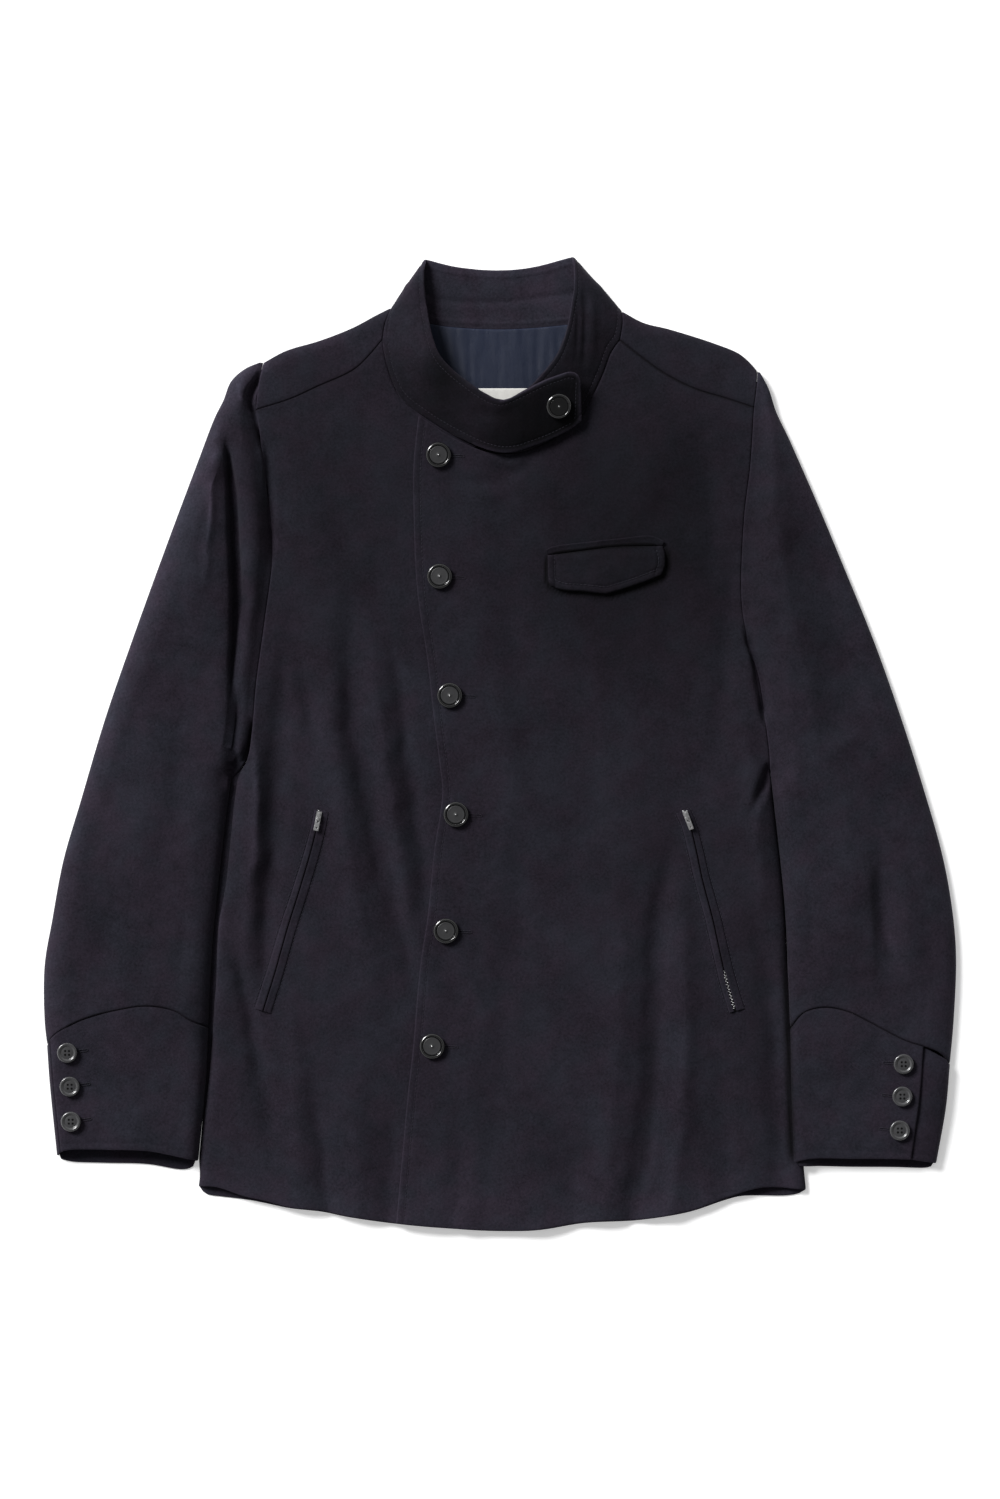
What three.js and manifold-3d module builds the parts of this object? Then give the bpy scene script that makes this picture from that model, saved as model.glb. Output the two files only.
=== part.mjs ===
import * as THREE from 'three';
import { mergeVertices } from 'three/addons/utils/BufferGeometryUtils.js';
import Module from 'manifold-3d';

// A dark stand-collar jacket with a slanting buttoned front, laid flat on its back.
// Millimetres. +X is to the right seen from above, +Y towards the collar, +Z up.
// The back rests on z = 0. "Left" and "right" are sides as seen from above.

// Driving sizes
const CLOTH = 2.0; // shell cloth with its backing
const COLLAR_CLOTH = 2.4; // two layers and a stiffener
const CUFF_CLOTH = 1.8;
const LINING_CLOTH = 0.8;
const FLAP_CLOTH = 2.2;
const WELT_CLOTH = 1.4;
const SEAM_INSET = 0.2; // each piece stops this far short of a shared seam
const SIDE_INSET = 0.4; // the same at the armholes and sides
const CLEAR = 0.4; // air between layers that lie on each other
const BODY_HEIGHT = 7.4; // outer face of the fronts above the floor
const BODY_ROLL = 9; // width over which the fronts roll down at the side
const SLEEVE_HEIGHT = 14;
const SLEEVE_ROLL = 20;
const CUFF_HEIGHT = 12.5;
const CUFF_ROLL = 12;
const CUFF_CORNER = 2.4; // radius where a cuff turns up from the floor
const CUFF_OVERLAP = 12;
const CUFF_SEAM_INSET = 0.6;
const CUFF_BACK_LONGER = { left: 11, right: 7 };
const CUFF_HANG_POWER = 9; // how square the hanging back edge of a cuff is
const CUFF_LAYER = CUFF_CLOTH + 0.6; // a cuff's inner lap lies this far below its outer one
const PLACKET_OVERLAP = 48; // how far the under front runs on below the over front
const OVERLAP_FADE = 24;
const OVERLAP_LAYER = CLOTH + CLEAR + 0.2;
const OVERLAP_START = 3; // flat strip beyond the hidden edge before the over front sinks
const BACK_INSET = 3.7; // back panel's edge inside the rolled edge of the front
const SHOULDER_INSET = 4.4;
const ON_CLOTH = 0.45; // air under a piece that lies on a panel
const SLEEVE_OVER_BODY = 7.2; // lift of the right sleeve where it lies on the body
const SLEEVE_LIFT_WIDTH = 14;
const SEAM_BLEND = { left: 9, right: 24 }; // width over which a sleeve takes up the body's height
const BUTTON_DIAMETER = 20;
const CUFF_BUTTON_DIAMETER = 16;
const ZIP_WIDTH = 4.4;
const ZIP_THICKNESS = 0.9;

// Outlines, each [x, y] along the edge, as the garment lies
const LINE = {
  sideLeft: [[-242, -354], [-240, -336], [-236, -290], [-231, -166], [-222, -76], [-216, -29]],
  sideRight: [[244, -357], [242, -336], [236, -246], [229, -174], [226, -124], [218, -49], [215, -23]],
  armFrontLeft: [[-216, -29], [-204, -15], [-199, 10], [-196, 46], [-189, 98], [-183, 149], [-186, 196],
    [-192, 242], [-196, 266]],
  armFrontRight: [[215, -23], [214, -6], [211, 18], [206, 52], [197, 82], [192, 114], [194, 180],
    [199, 222], [202, 268]],
  armYokeLeft: [[-196, 266], [-194, 285], [-190, 304]],
  armYokeRight: [[202, 268], [204, 283], [205, 297]],
  shoulderLeft: [[-190, 304], [-172, 313], [-145, 322], [-119, 332], [-100, 342], [-88, 348]],
  shoulderRight: [[205, 297], [201, 302], [191, 311], [172, 319], [134, 331], [114, 336], [97, 345]],
  yokeLeft: [[-196, 266], [-168, 275], [-146, 285], [-118, 298], [-105, 310], [-95, 322]],
  yokeRight: [[202, 268], [181, 275], [155, 283], [131, 295], [110, 310], [95, 322]],
  neckYokeLeft: [[-95, 322], [-93, 335], [-88, 348]],
  neckYokeRight: [[95, 322], [97, 335], [97, 345]],
  neckUnder: [[-95, 322], [-92, 304], [-87, 288], [-80, 275], [-66.5, 264], [-50, 253], [-36, 245],
    [-20, 237]],
  neckOver: [[95, 322], [88, 312], [81, 294], [74, 279], [64, 261], [47, 247], [30, 237], [9, 231],
    [-9, 232], [-24, 237], [-41, 245], [-52, 252], [-66, 262]],
  neckBack: [[-88, 348], [-69, 338], [-49, 333], [-1, 330], [47, 333], [75, 337], [97, 345]],
  placket: [[-84, -384], [-75, -285], [-70, -239], [-65, -180], [-59, -140], [-54, -89], [-47, -40],
    [-49, -18], [-54, 21], [-59, 67], [-67, 121], [-70, 187], [-70, 223], [-66, 262]],
  hem: [[-242, -354], [-227, -355], [-206, -362], [-188, -366], [-169, -371], [-142, -374], [-123, -378],
    [-84, -384], [-39, -388], [-1, -390], [31, -389], [66, -383], [111, -381], [151, -374], [184, -362],
    [211, -355], [244, -357]],
  outLeft: [[-194, 305], [-205, 299], [-216, 289], [-222, 274], [-229, 260], [-242, 226], [-266, 162],
    [-295, 82], [-317, 18], [-336, -46], [-350, -94], [-359, -142], [-365, -178], [-365, -222],
    [-363, -241]],
  outRight: [[207, 296], [214, 283], [220, 265], [230, 244], [238, 226], [252, 194], [272, 146],
    [298, 82], [318, 26], [336, -30], [354, -94], [362, -142], [364, -174], [362, -222], [359, -256]],
  innerLeft: [[-216, -29], [-222, -76], [-231, -166], [-234, -227]],
  innerRight: [[215, -23], [218, -49], [226, -124], [229, -174], [231, -227]],
  cuffSeamLeft: [[-363, -241], [-358, -234], [-335, -221], [-310, -214], [-283, -210], [-260, -214],
    [-249, -221], [-234, -227]],
  cuffSeamRight: [[359, -256], [350, -247], [322, -237], [293, -222], [276, -214], [258, -211],
    [242, -215], [231, -227]],
  cuffOutLeft: [[-363, -241], [-361, -270], [-355, -330]],
  cuffOutRight: [[359, -256], [356, -290], [348, -336]],
  cuffInLeft: [[-234, -227], [-236, -270], [-242, -334]],
  cuffInRight: [[231, -227], [232, -280], [234, -335]],
  cuffHemLeft: [[-355, -330], [-350, -326], [-308, -325], [-281, -326], [-260, -330], [-242, -334]],
  cuffHemRight: [[348, -336], [331, -333], [281, -332], [247, -332], [234, -335]],
};

// Folds in the cloth: a line, its height (down is negative) and its half width
const BODY_FOLDS = [
  { height: -2.6, width: 8, line: [[-173, 52], [-179, -10], [-185, -70], [-186, -117], [-188, -162]] },
  { height: -2.2, width: 9, line: [[-125, 122], [-119, 50], [-111, 2], [-101, -70], [-89, -126],
    [-78, -193]] },
  { height: -1.5, width: 7, line: [[-84, 67], [-75, 6], [-66, -70], [-65, -126]] },
  { height: -1.3, width: 7, line: [[-177, 102], [-163, 63], [-154, 25]] },
  { height: -1.6, width: 8, line: [[-215, -150], [-208, -187], [-198, -224], [-191, -263], [-182, -300]] },
  { height: 1.4, width: 10, line: [[-141, 114], [-133, 34], [-125, -46]] },
  { height: -2.2, width: 8, line: [[131, -102], [123, -166], [119, -254], [111, -350]] },
  { height: -1.2, width: 13, line: [[159, 250], [171, 178], [163, 98]] },
  { height: 1.2, width: 16, line: [[60, 60], [100, -20], [95, -120]] },
];
const SLEEVE_FOLDS = {
  left: [
    { height: -6.5, width: 7, line: [[-217, 231], [-214, 200], [-213, 162], [-212, 125], [-211, 100],
      [-213, 50], [-213, -10]] },
    { height: -1.6, width: 12, line: [[-300, -60], [-318, -130], [-322, -190]] },
  ],
  right: [
    { height: -2.4, width: 12, line: [[223, 146], [239, 66], [251, -14], [263, -70]] },
    { height: -1.8, width: 9, line: [[303, -92], [307, -120], [308, -160]] },
  ],
};

const FABRIC = material('shell_cloth', 0x17161b, 0.92);
const LINING = material('lining', 0x1c2233, 0.6);
const LABEL = material('label', 0xdedbd3, 0.8);
const BUTTON = material('button_black', 0x0b0b0c, 0.22);
const TAPE = material('zip_tape', 0x0f0f12, 0.85);
const METAL = material('zip_metal', 0xc8c9cc, 0.3, 1);

function material(name, color, roughness, metalness = 0) {
  const made = new THREE.MeshStandardMaterial({ color, roughness, metalness });
  made.name = name;
  return made;
}

const jacket = new THREE.Group();
jacket.name = 'jacket';

function add(name, geometry, skin) {
  const mesh = new THREE.Mesh(geometry, skin);
  mesh.name = name;
  jacket.add(mesh);
  return mesh;
}

// Plane curves
const SAMPLE_STEP = 2;

function smooth(points) {
  const spots = points.map(([x, y]) => new THREE.Vector3(x, y, 0));
  const curve = new THREE.CatmullRomCurve3(spots, false, 'centripetal');
  const count = Math.max(8, Math.ceil(curve.getLength() / SAMPLE_STEP));
  return curve.getSpacedPoints(count).map((p) => [p.x, p.y]);
}

const CURVE = Object.fromEntries(Object.entries(LINE).map(([name, points]) => [name, smooth(points)]));

const reversed = (line) => [...line].reverse();
const join = (...lines) => lines.flatMap((line, index) => (index ? line.slice(1) : line));

function lengths(line) {
  const sums = [0];
  for (let i = 1; i < line.length; i += 1) {
    sums.push(sums[i - 1] + Math.hypot(line[i][0] - line[i - 1][0], line[i][1] - line[i - 1][1]));
  }
  return sums;
}

// Points of a line at the given fractions of its length
function pick(line, fractions) {
  const sums = lengths(line);
  const total = sums[sums.length - 1];
  let k = 1;
  return fractions.map((fraction) => {
    const wanted = fraction * total;
    while (k < line.length - 1 && sums[k] < wanted) k += 1;
    const t = (wanted - sums[k - 1]) / (sums[k] - sums[k - 1]);
    return line[k].map((value, axis) => line[k - 1][axis] + t * (value - line[k - 1][axis]));
  });
}

const even = (count) => Array.from({ length: count + 1 }, (_, i) => i / count);

// The line moved sideways: to its left for a positive distance
function moved(line, distance) {
  return line.map(([x, y], i) => {
    const before = line[Math.max(0, i - 1)];
    const after = line[Math.min(line.length - 1, i + 1)];
    const long = Math.hypot(after[0] - before[0], after[1] - before[1]);
    return [x - distance * (after[1] - before[1]) / long, y + distance * (after[0] - before[0]) / long];
  });
}

function distanceTo(line, x, y) {
  let best = Infinity;
  for (let i = 1; i < line.length; i += 1) {
    const [ax, ay] = line[i - 1];
    const [bx, by] = line[i];
    const long = (bx - ax) ** 2 + (by - ay) ** 2;
    const t = THREE.MathUtils.clamp(((x - ax) * (bx - ax) + (y - ay) * (by - ay)) / long, 0, 1);
    best = Math.min(best, Math.hypot(x - ax - t * (bx - ax), y - ay - t * (by - ay)));
  }
  return best;
}

const nearest = (lines, x, y) => Math.min(...lines.map((line) => distanceTo(line, x, y)));

// x of an upright line at height y
function xAt(line, y) {
  for (let i = 1; i < line.length; i += 1) {
    const [low, high] = [line[i - 1], line[i]];
    if ((low[1] - y) * (high[1] - y) <= 0 && low[1] !== high[1]) {
      return low[0] + (high[0] - low[0]) * (y - low[1]) / (high[1] - low[1]);
    }
  }
  const [start, end] = [line[0], line.at(-1)];
  const below = y < Math.min(start[1], end[1]);
  return below === (start[1] < end[1]) ? start[0] : end[0];
}

const { smoothstep } = THREE.MathUtils;

// Height of a quarter-round edge, 0 at the edge and 1 from `width` inwards
function roll(distance, width) {
  const t = 1 - Math.min(distance, width) / width;
  return Math.sqrt(Math.max(0, 1 - t * t));
}

function foldHeight(folds, x, y) {
  return folds.reduce((sum, { height, width, curve }) => {
    const gap = distanceTo(curve, x, y) / width;
    return sum + height * Math.exp(-(gap ** 2));
  }, 0);
}

[...BODY_FOLDS, ...SLEEVE_FOLDS.left, ...SLEEVE_FOLDS.right].forEach((fold) => {
  fold.curve = smooth(fold.line);
});

// Height of the outer cloth above the floor
const BODY_EDGES = [CURVE.sideLeft, CURVE.sideRight, CURVE.shoulderLeft, CURVE.shoulderRight];

function bodyTop(x, y) {
  const rise = roll(nearest(BODY_EDGES, x, y), BODY_ROLL);
  return rise * (BODY_HEIGHT + foldHeight(BODY_FOLDS, x, y) * rise);
}

const hiddenX = (y) => xAt(CURVE.placket, y) + PLACKET_OVERLAP;

function overTop(x, y) {
  return bodyTop(x, y) + OVERLAP_LAYER * (1 - smoothstep(x - hiddenX(y) - OVERLAP_START, 0, OVERLAP_FADE));
}

// Height of the under side of the right sleeve, which lies on the body near its cuff
const LIFT_RANGE = [-150, -212]; // y where the lift begins, y where it is full

function rightBase(x, y) {
  const along = smoothstep(-y, -LIFT_RANGE[0], -LIFT_RANGE[1]);
  const outside = x - xAt(CURVE.sideRight, y);
  return SLEEVE_OVER_BODY * along * (1 - smoothstep(outside, 0, SLEEVE_LIFT_WIDTH));
}

const flat = () => 0;

const SLEEVE = {
  left: {
    out: CURVE.outLeft,
    arm: join(CURVE.armFrontLeft, CURVE.armYokeLeft),
    inner: CURVE.innerLeft,
    base: flat,
  },
  right: {
    out: CURVE.outRight,
    arm: join(CURVE.armFrontRight, CURVE.armYokeRight),
    inner: CURVE.innerRight,
    base: rightBase,
  },
};

const nearSleeveTop = (side, x, y) => {
  const { out, arm, inner, base } = SLEEVE[side];
  const floor = base(x, y);
  const rise = roll(distanceTo(out, x, y), SLEEVE_ROLL) * roll(distanceTo(inner, x, y), SLEEVE_ROLL);
  const own = floor + rise * (SLEEVE_HEIGHT - floor + foldHeight(SLEEVE_FOLDS[side], x, y) * rise);
  const weight = 1 - smoothstep(distanceTo(arm, x, y), 0, SEAM_BLEND[side]);
  return own + weight * (Math.min(bodyTop(x, y), own + BODY_HEIGHT) - own);
};

// A sheet of cloth from a grid of outer points and normals: closed, with its own thickness
function sheet(points, normals, thickness) {
  const rows = points.length;
  const columns = points[0].length;
  const position = [];
  [0, thickness].forEach((depth) => {
    points.forEach((row, j) => row.forEach((point, i) => {
      position.push(...point.clone().addScaledVector(normals[j][i], -depth).toArray());
    }));
  });
  const at = (layer, j, i) => layer * rows * columns + j * columns + i;
  const [j0, i0] = [Math.floor(rows / 2), Math.floor(columns / 2)];
  const from = (near) => points[j0][i0].clone().sub(near);
  const cell = from(points[j0][i0 - 1]).cross(from(points[j0 - 1][i0]));
  const turned = cell.dot(normals[j0][i0]) < 0;
  const index = [];
  const quad = (a, b, c, d) => index.push(...(turned ? [a, c, b, a, d, c] : [a, b, c, a, c, d]));
  for (let j = 0; j < rows - 1; j += 1) {
    for (let i = 0; i < columns - 1; i += 1) {
      quad(at(0, j, i), at(0, j, i + 1), at(0, j + 1, i + 1), at(0, j + 1, i));
      quad(at(1, j, i), at(1, j + 1, i), at(1, j + 1, i + 1), at(1, j, i + 1));
    }
  }
  for (let i = 0; i < columns - 1; i += 1) {
    quad(at(0, 0, i), at(1, 0, i), at(1, 0, i + 1), at(0, 0, i + 1));
    quad(at(0, rows - 1, i), at(0, rows - 1, i + 1), at(1, rows - 1, i + 1), at(1, rows - 1, i));
  }
  for (let j = 0; j < rows - 1; j += 1) {
    quad(at(0, j, 0), at(0, j + 1, 0), at(1, j + 1, 0), at(1, j, 0));
    const end = columns - 1;
    quad(at(0, j, end), at(1, j, end), at(1, j + 1, end), at(0, j + 1, end));
  }
  const geometry = new THREE.BufferGeometry();
  geometry.setAttribute('position', new THREE.Float32BufferAttribute(position, 3));
  geometry.setIndex(index);
  geometry.computeVertexNormals();
  return geometry;
}

// Normals of a grid, turned to the side that `facing` points to
function gridNormals(points, facing) {
  const last = [points.length - 1, points[0].length - 1];
  return points.map((row, j) => row.map((_, i) => {
    const along = points[j][Math.min(last[1], i + 1)].clone().sub(points[j][Math.max(0, i - 1)]);
    const across = points[Math.min(last[0], j + 1)][i].clone().sub(points[Math.max(0, j - 1)][i]);
    return along.cross(across).normalize().multiplyScalar(facing);
  }));
}

// Plane grid inside four edges: bottom and top run left to right, left and right run upwards
function fill(bottom, top, left, right) {
  const share = (a, b) => {
    const [la, lb] = [lengths(a), lengths(b)];
    return a.map((_, i) => (la[i] / la.at(-1) + lb[i] / lb.at(-1)) / 2);
  };
  const us = share(bottom, top);
  const vs = share(left, right);
  return vs.map((v, j) => us.map((u, i) => [0, 1].map((axis) => (1 - v) * bottom[i][axis] + v * top[i][axis]
    + (1 - u) * left[j][axis] + u * right[j][axis]
    - (1 - u) * (1 - v) * bottom[0][axis] - u * (1 - v) * bottom.at(-1)[axis]
    - (1 - u) * v * top[0][axis] - u * v * top.at(-1)[axis])));
}

// Inward direction of the grid's edge at a point, in plan
function inward(grid, j, i, edge) {
  const [rows, columns] = [grid.length - 1, grid[0].length - 1];
  const upright = edge === 'left' || edge === 'right';
  const [a, b] = upright
    ? [grid[Math.max(0, j - 1)][i], grid[Math.min(rows, j + 1)][i]]
    : [grid[j][Math.max(0, i - 1)], grid[j][Math.min(columns, i + 1)]];
  const long = Math.hypot(b[0] - a[0], b[1] - a[1]);
  const side = [-(b[1] - a[1]) / long, (b[0] - a[0]) / long];
  const target = upright ? grid[j][Math.floor(columns / 2)] : grid[Math.floor(rows / 2)][i];
  const [tx, ty] = [target[0] - grid[j][i][0], target[1] - grid[j][i][1]];
  const sign = Math.sign(side[0] * tx + side[1] * ty) || 1;
  return side.map((value) => value * sign);
}

// A cloth panel over a plan grid. `top` gives the outer height, `base` the floor level, `floor`
// the edges, or the part of an edge, that roll down to it, and `inset` the gap left at each edge.
const EDGES = ['left', 'right', 'bottom', 'top'];

function panel(grid, { top, base = flat, floor = {}, thickness = CLOTH, facing = 1, inset = {} }) {
  const [rows, columns] = [grid.length - 1, grid[0].length - 1];
  const place = {
    left: (j) => [j, 0], right: (j) => [j, columns], bottom: (j, i) => [0, i], top: (j, i) => [rows, i],
  };
  const weight = {
    left: (j, i) => 1 - i / columns,
    right: (j, i) => i / columns,
    bottom: (j) => 1 - j / rows,
    top: (j) => j / rows,
  };
  const wayAt = (edge, j, i) => inward(grid, ...place[edge](j, i), edge);
  const floored = [];
  const points = grid.map((row, j) => row.map(([x, y], i) => {
    const shift = [0, 0];
    EDGES.forEach((edge) => {
      const amount = (inset[edge] ?? SEAM_INSET) * weight[edge](j, i);
      wayAt(edge, j, i).forEach((value, axis) => {
        shift[axis] += value * amount;
      });
    });
    const rolled = EDGES.find((edge) => {
      const [ej, ei] = place[edge](j, i);
      return ej === j && ei === i && floor[edge]?.(edge === 'left' || edge === 'right' ? j : i);
    });
    if (rolled) floored.push([j, i, rolled]);
    return new THREE.Vector3(x + shift[0], y + shift[1], rolled ? base(x, y) : top(x, y));
  }));
  const normals = gridNormals(points, facing);
  if (normals[Math.floor(rows / 2)][Math.floor(columns / 2)].z * facing < 0) {
    normals.flat().forEach((normal) => normal.negate());
  }
  floored.forEach(([j, i, edge]) => {
    const way = wayAt(edge, j, i);
    normals[j][i].set(-way[0], -way[1], 0);
  });
  return sheet(points, normals, thickness);
}

// Fractions that crowd at a rolled edge of the given width and then run evenly
const ROLL_STEPS = [0, 20, 40, 60, 90].map((degrees) => 1 - Math.cos(THREE.MathUtils.degToRad(degrees)));

function rolledStart(width, length, count) {
  const start = ROLL_STEPS.map((step) => step * width / length);
  return [...start, ...even(count).slice(1).map((t) => start.at(-1) + t * (1 - start.at(-1)))];
}

const rolledBoth = (width, length, count) => {
  const start = rolledStart(width, length / 2, count).map((t) => t / 2);
  return [...start, ...reversed(start).slice(1).map((t) => 1 - t)];
};

const flip = (fractions) => reversed(fractions).map((t) => 1 - t);
const split = (line, at) => line.slice(0, line.findIndex(([x]) => x >= at) + 1);
const after = (line, at) => line.slice(line.findIndex(([x]) => x >= at));

// Segments along each edge, the same on both sides of a seam
const COUNT = { side: 9, arm: 9, yoke: 7, neckUnder: 8, neckOver: 15, inner: 9 };

// Back panel, flat on the floor
function backPanel() {
  const every = (line, count) => pick(line, even(count));
  const outline = [
    ...every(moved(CURVE.hem, BACK_INSET / 2), 26).slice(1, -1),
    ...every(moved(CURVE.sideRight, BACK_INSET), 8),
    ...every(moved(CURVE.armFrontRight, SEAM_INSET), COUNT.arm).slice(1),
    ...every(moved(CURVE.armYokeRight, SEAM_INSET), 2).slice(1, -1),
    ...every(moved(CURVE.shoulderRight, SHOULDER_INSET), 12).slice(1, -1),
    ...every(moved(reversed(CURVE.neckBack), SEAM_INSET), 12).slice(1, -1),
    ...every(moved(reversed(CURVE.shoulderLeft), SHOULDER_INSET), 12).slice(1, -1),
    ...every(moved(reversed(CURVE.armYokeLeft), SEAM_INSET), 2).slice(1, -1),
    ...every(moved(reversed(CURVE.armFrontLeft), SEAM_INSET), COUNT.arm).slice(0, -1),
    ...every(moved(reversed(CURVE.sideLeft), BACK_INSET), 8),
  ];
  const shape = new THREE.Shape(outline.map(([x, y]) => new THREE.Vector2(x, y)));
  return new THREE.ExtrudeGeometry(shape, { depth: CLOTH, bevelEnabled: false });
}

add('back_panel', backPanel(), FABRIC);

// Fronts
const FRONT_ROWS = COUNT.side + COUNT.arm;

function frontUnder() {
  const hidden = smooth(even(8).map((t) => {
    const y = THREE.MathUtils.lerp(LINE.placket[0][1], LINE.neckUnder.at(-1)[1], t);
    return [hiddenX(y), y];
  }));
  hidden[0] = [hidden[0][0], split(CURVE.hem, hidden[0][0]).at(-1)[1]];
  hidden[hidden.length - 1] = CURVE.neckUnder.at(-1);
  const yokeSteps = rolledStart(BODY_ROLL, lengths(CURVE.yokeLeft).at(-1), COUNT.yoke - 2);
  const top = join(pick(CURVE.yokeLeft, yokeSteps), pick(CURVE.neckUnder, even(COUNT.neckUnder)));
  const hem = [...split(CURVE.hem, hidden[0][0]).slice(0, -1), hidden[0]];
  const hemSteps = rolledStart(BODY_ROLL, lengths(hem).at(-1), top.length - ROLL_STEPS.length);
  const side = join(pick(CURVE.sideLeft, even(COUNT.side)), pick(CURVE.armFrontLeft, even(COUNT.arm)));
  const grid = fill(pick(hem, hemSteps), top, side, pick(hidden, even(FRONT_ROWS)));
  const floor = { left: (j) => j <= COUNT.side };
  return panel(grid, { top: bodyTop, floor, inset: { left: SIDE_INSET } });
}

function frontOver() {
  const yokeSteps = flip(rolledStart(BODY_ROLL, lengths(CURVE.yokeRight).at(-1), COUNT.yoke - 2));
  const top = join(
    pick(reversed(CURVE.neckOver), even(COUNT.neckOver)),
    pick(reversed(CURVE.yokeRight), yokeSteps),
  );
  const hem = [CURVE.placket[0], ...after(CURVE.hem, CURVE.placket[0][0] + 1)];
  const hemSteps = flip(rolledStart(BODY_ROLL, lengths(hem).at(-1), top.length - ROLL_STEPS.length));
  const side = join(pick(CURVE.sideRight, even(COUNT.side)), pick(CURVE.armFrontRight, even(COUNT.arm)));
  const grid = fill(pick(hem, hemSteps), top, pick(CURVE.placket, even(FRONT_ROWS)), side);
  const floor = { right: (j) => j <= COUNT.side };
  return panel(grid, { top: overTop, floor, inset: { right: SIDE_INSET } });
}

add('front_under', frontUnder(), FABRIC);
add('front_over', frontOver(), FABRIC);

// Yokes, rolled down over the shoulder to meet the back
function yoke(name) {
  const across = rolledStart(BODY_ROLL, lengths(CURVE[`yoke${name}`]).at(-1), COUNT.yoke - 2);
  const shoulderRows = (line) => pick(line, flip(rolledStart(BODY_ROLL, lengths(line).at(-1), 2)));
  const grid = fill(
    pick(CURVE[`yoke${name}`], across),
    pick(CURVE[`shoulder${name}`], across),
    shoulderRows(CURVE[`armYoke${name}`]),
    shoulderRows(CURVE[`neckYoke${name}`]),
  );
  return panel(grid, { top: bodyTop, floor: { top: () => true }, inset: { left: 2 * SIDE_INSET } });
}

add('yoke_left', yoke('Left'), FABRIC);
add('yoke_right', yoke('Right'), FABRIC);

// Sleeves: a top sleeve rolled down at both edges and an under sleeve on the floor
const SLEEVE_START = 0.065; // fraction of the outer line where the under sleeve begins
const UNDER_SEAM_INSET = 2.2;
const UNDER_CUT = 0.03; // share of the edge left free at the cuff
const SEAM_HEM_INSET = 1.3; // top sleeve's hem inside the cuff seam
const ARM_YOKE_LENGTH = 37;
const SLEEVE_WIDTH = 124;
const range = (from, to, count) => even(count).map((t) => from + t * (to - from));

function sleeveTop(name) {
  const side = name.toLowerCase();
  const upOuter = reversed(CURVE[`out${name}`]);
  const upInner = join(
    pick(reversed(CURVE[`inner${name}`]), even(COUNT.inner)),
    pick(CURVE[`armFront${name}`], even(COUNT.arm)),
    pick(CURVE[`armYoke${name}`], flip(rolledStart(BODY_ROLL, ARM_YOKE_LENGTH, 2))),
  );
  const rows = upInner.length - 1;
  const outerSteps = flip(rolledStart(BODY_ROLL, lengths(upOuter).at(-1), rows - ROLL_STEPS.length + 1));
  const outer = pick(upOuter, outerSteps);
  const across = rolledBoth(SLEEVE_ROLL, SLEEVE_WIDTH, 4);
  const hem = pick(CURVE[`cuffSeam${name}`], across);
  const cap = pick([outer.at(-1), upInner.at(-1)], across);
  const turn = name === 'Right';
  const [left, right] = turn ? [upInner, outer] : [outer, upInner];
  const [bottom, top] = turn ? [reversed(hem), reversed(cap)] : [hem, cap];
  const [outEdge, inEdge] = turn ? ['right', 'left'] : ['left', 'right'];
  return panel(fill(bottom, top, left, right), {
    top: (x, y) => nearSleeveTop(side, x, y),
    base: SLEEVE[side].base,
    floor: { [outEdge]: () => true, [inEdge]: (j) => j <= COUNT.inner, top: () => true },
    inset: { [outEdge]: 0, [inEdge]: SIDE_INSET, top: 0, bottom: SEAM_HEM_INSET },
  });
}

function sleeveUnder(name) {
  const sign = name === 'Left' ? 1 : -1;
  const outer = moved(pick(CURVE[`out${name}`], range(SLEEVE_START, 1, 60)), sign * BACK_INSET);
  const innerLine = moved(reversed(CURVE[`inner${name}`]), sign * BACK_INSET);
  const armStart = innerLine.at(-1);
  const inner = join(
    pick(innerLine, range(UNDER_CUT, 1, COUNT.inner)),
    pick(moved(CURVE[`armFront${name}`], sign * SEAM_INSET), even(COUNT.arm)).with(0, armStart),
    pick(moved(CURVE[`armYoke${name}`], sign * SEAM_INSET), [0, 0.35, 0.7]),
  );
  const rows = inner.length - 1;
  const outerPoints = pick(reversed(outer), range(UNDER_CUT, 1, rows));
  const seam = moved(CURVE[`cuffSeam${name}`], sign * UNDER_SEAM_INSET);
  const bottomLine = [outerPoints[0], ...pick(seam, range(0.06, 0.94, 20)), inner[0]];
  const across = even(9);
  const hem = pick(bottomLine, across);
  const cap = pick([outerPoints.at(-1), inner.at(-1)], across);
  const turn = name === 'Right';
  const [left, right] = turn ? [inner, outerPoints] : [outerPoints, inner];
  const [bottom, top] = turn ? [reversed(hem), reversed(cap)] : [hem, cap];
  const { base } = SLEEVE[name.toLowerCase()];
  const inset = { left: 0, right: 0, bottom: 0, top: 0 };
  return panel(fill(bottom, top, left, right), { top: base, facing: -1, inset });
}

['Left', 'Right'].forEach((name) => {
  add(`sleeve_top_${name.toLowerCase()}`, sleeveTop(name), FABRIC);
  add(`sleeve_under_${name.toLowerCase()}`, sleeveUnder(name), FABRIC);
});

// Cuffs: one band each, wrapped round with its ends lapped where the buttons are
const CUFF = {
  left: { lap: 5, longer: CUFF_BACK_LONGER.left },
  right: { lap: 24, longer: CUFF_BACK_LONGER.right },
};

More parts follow.
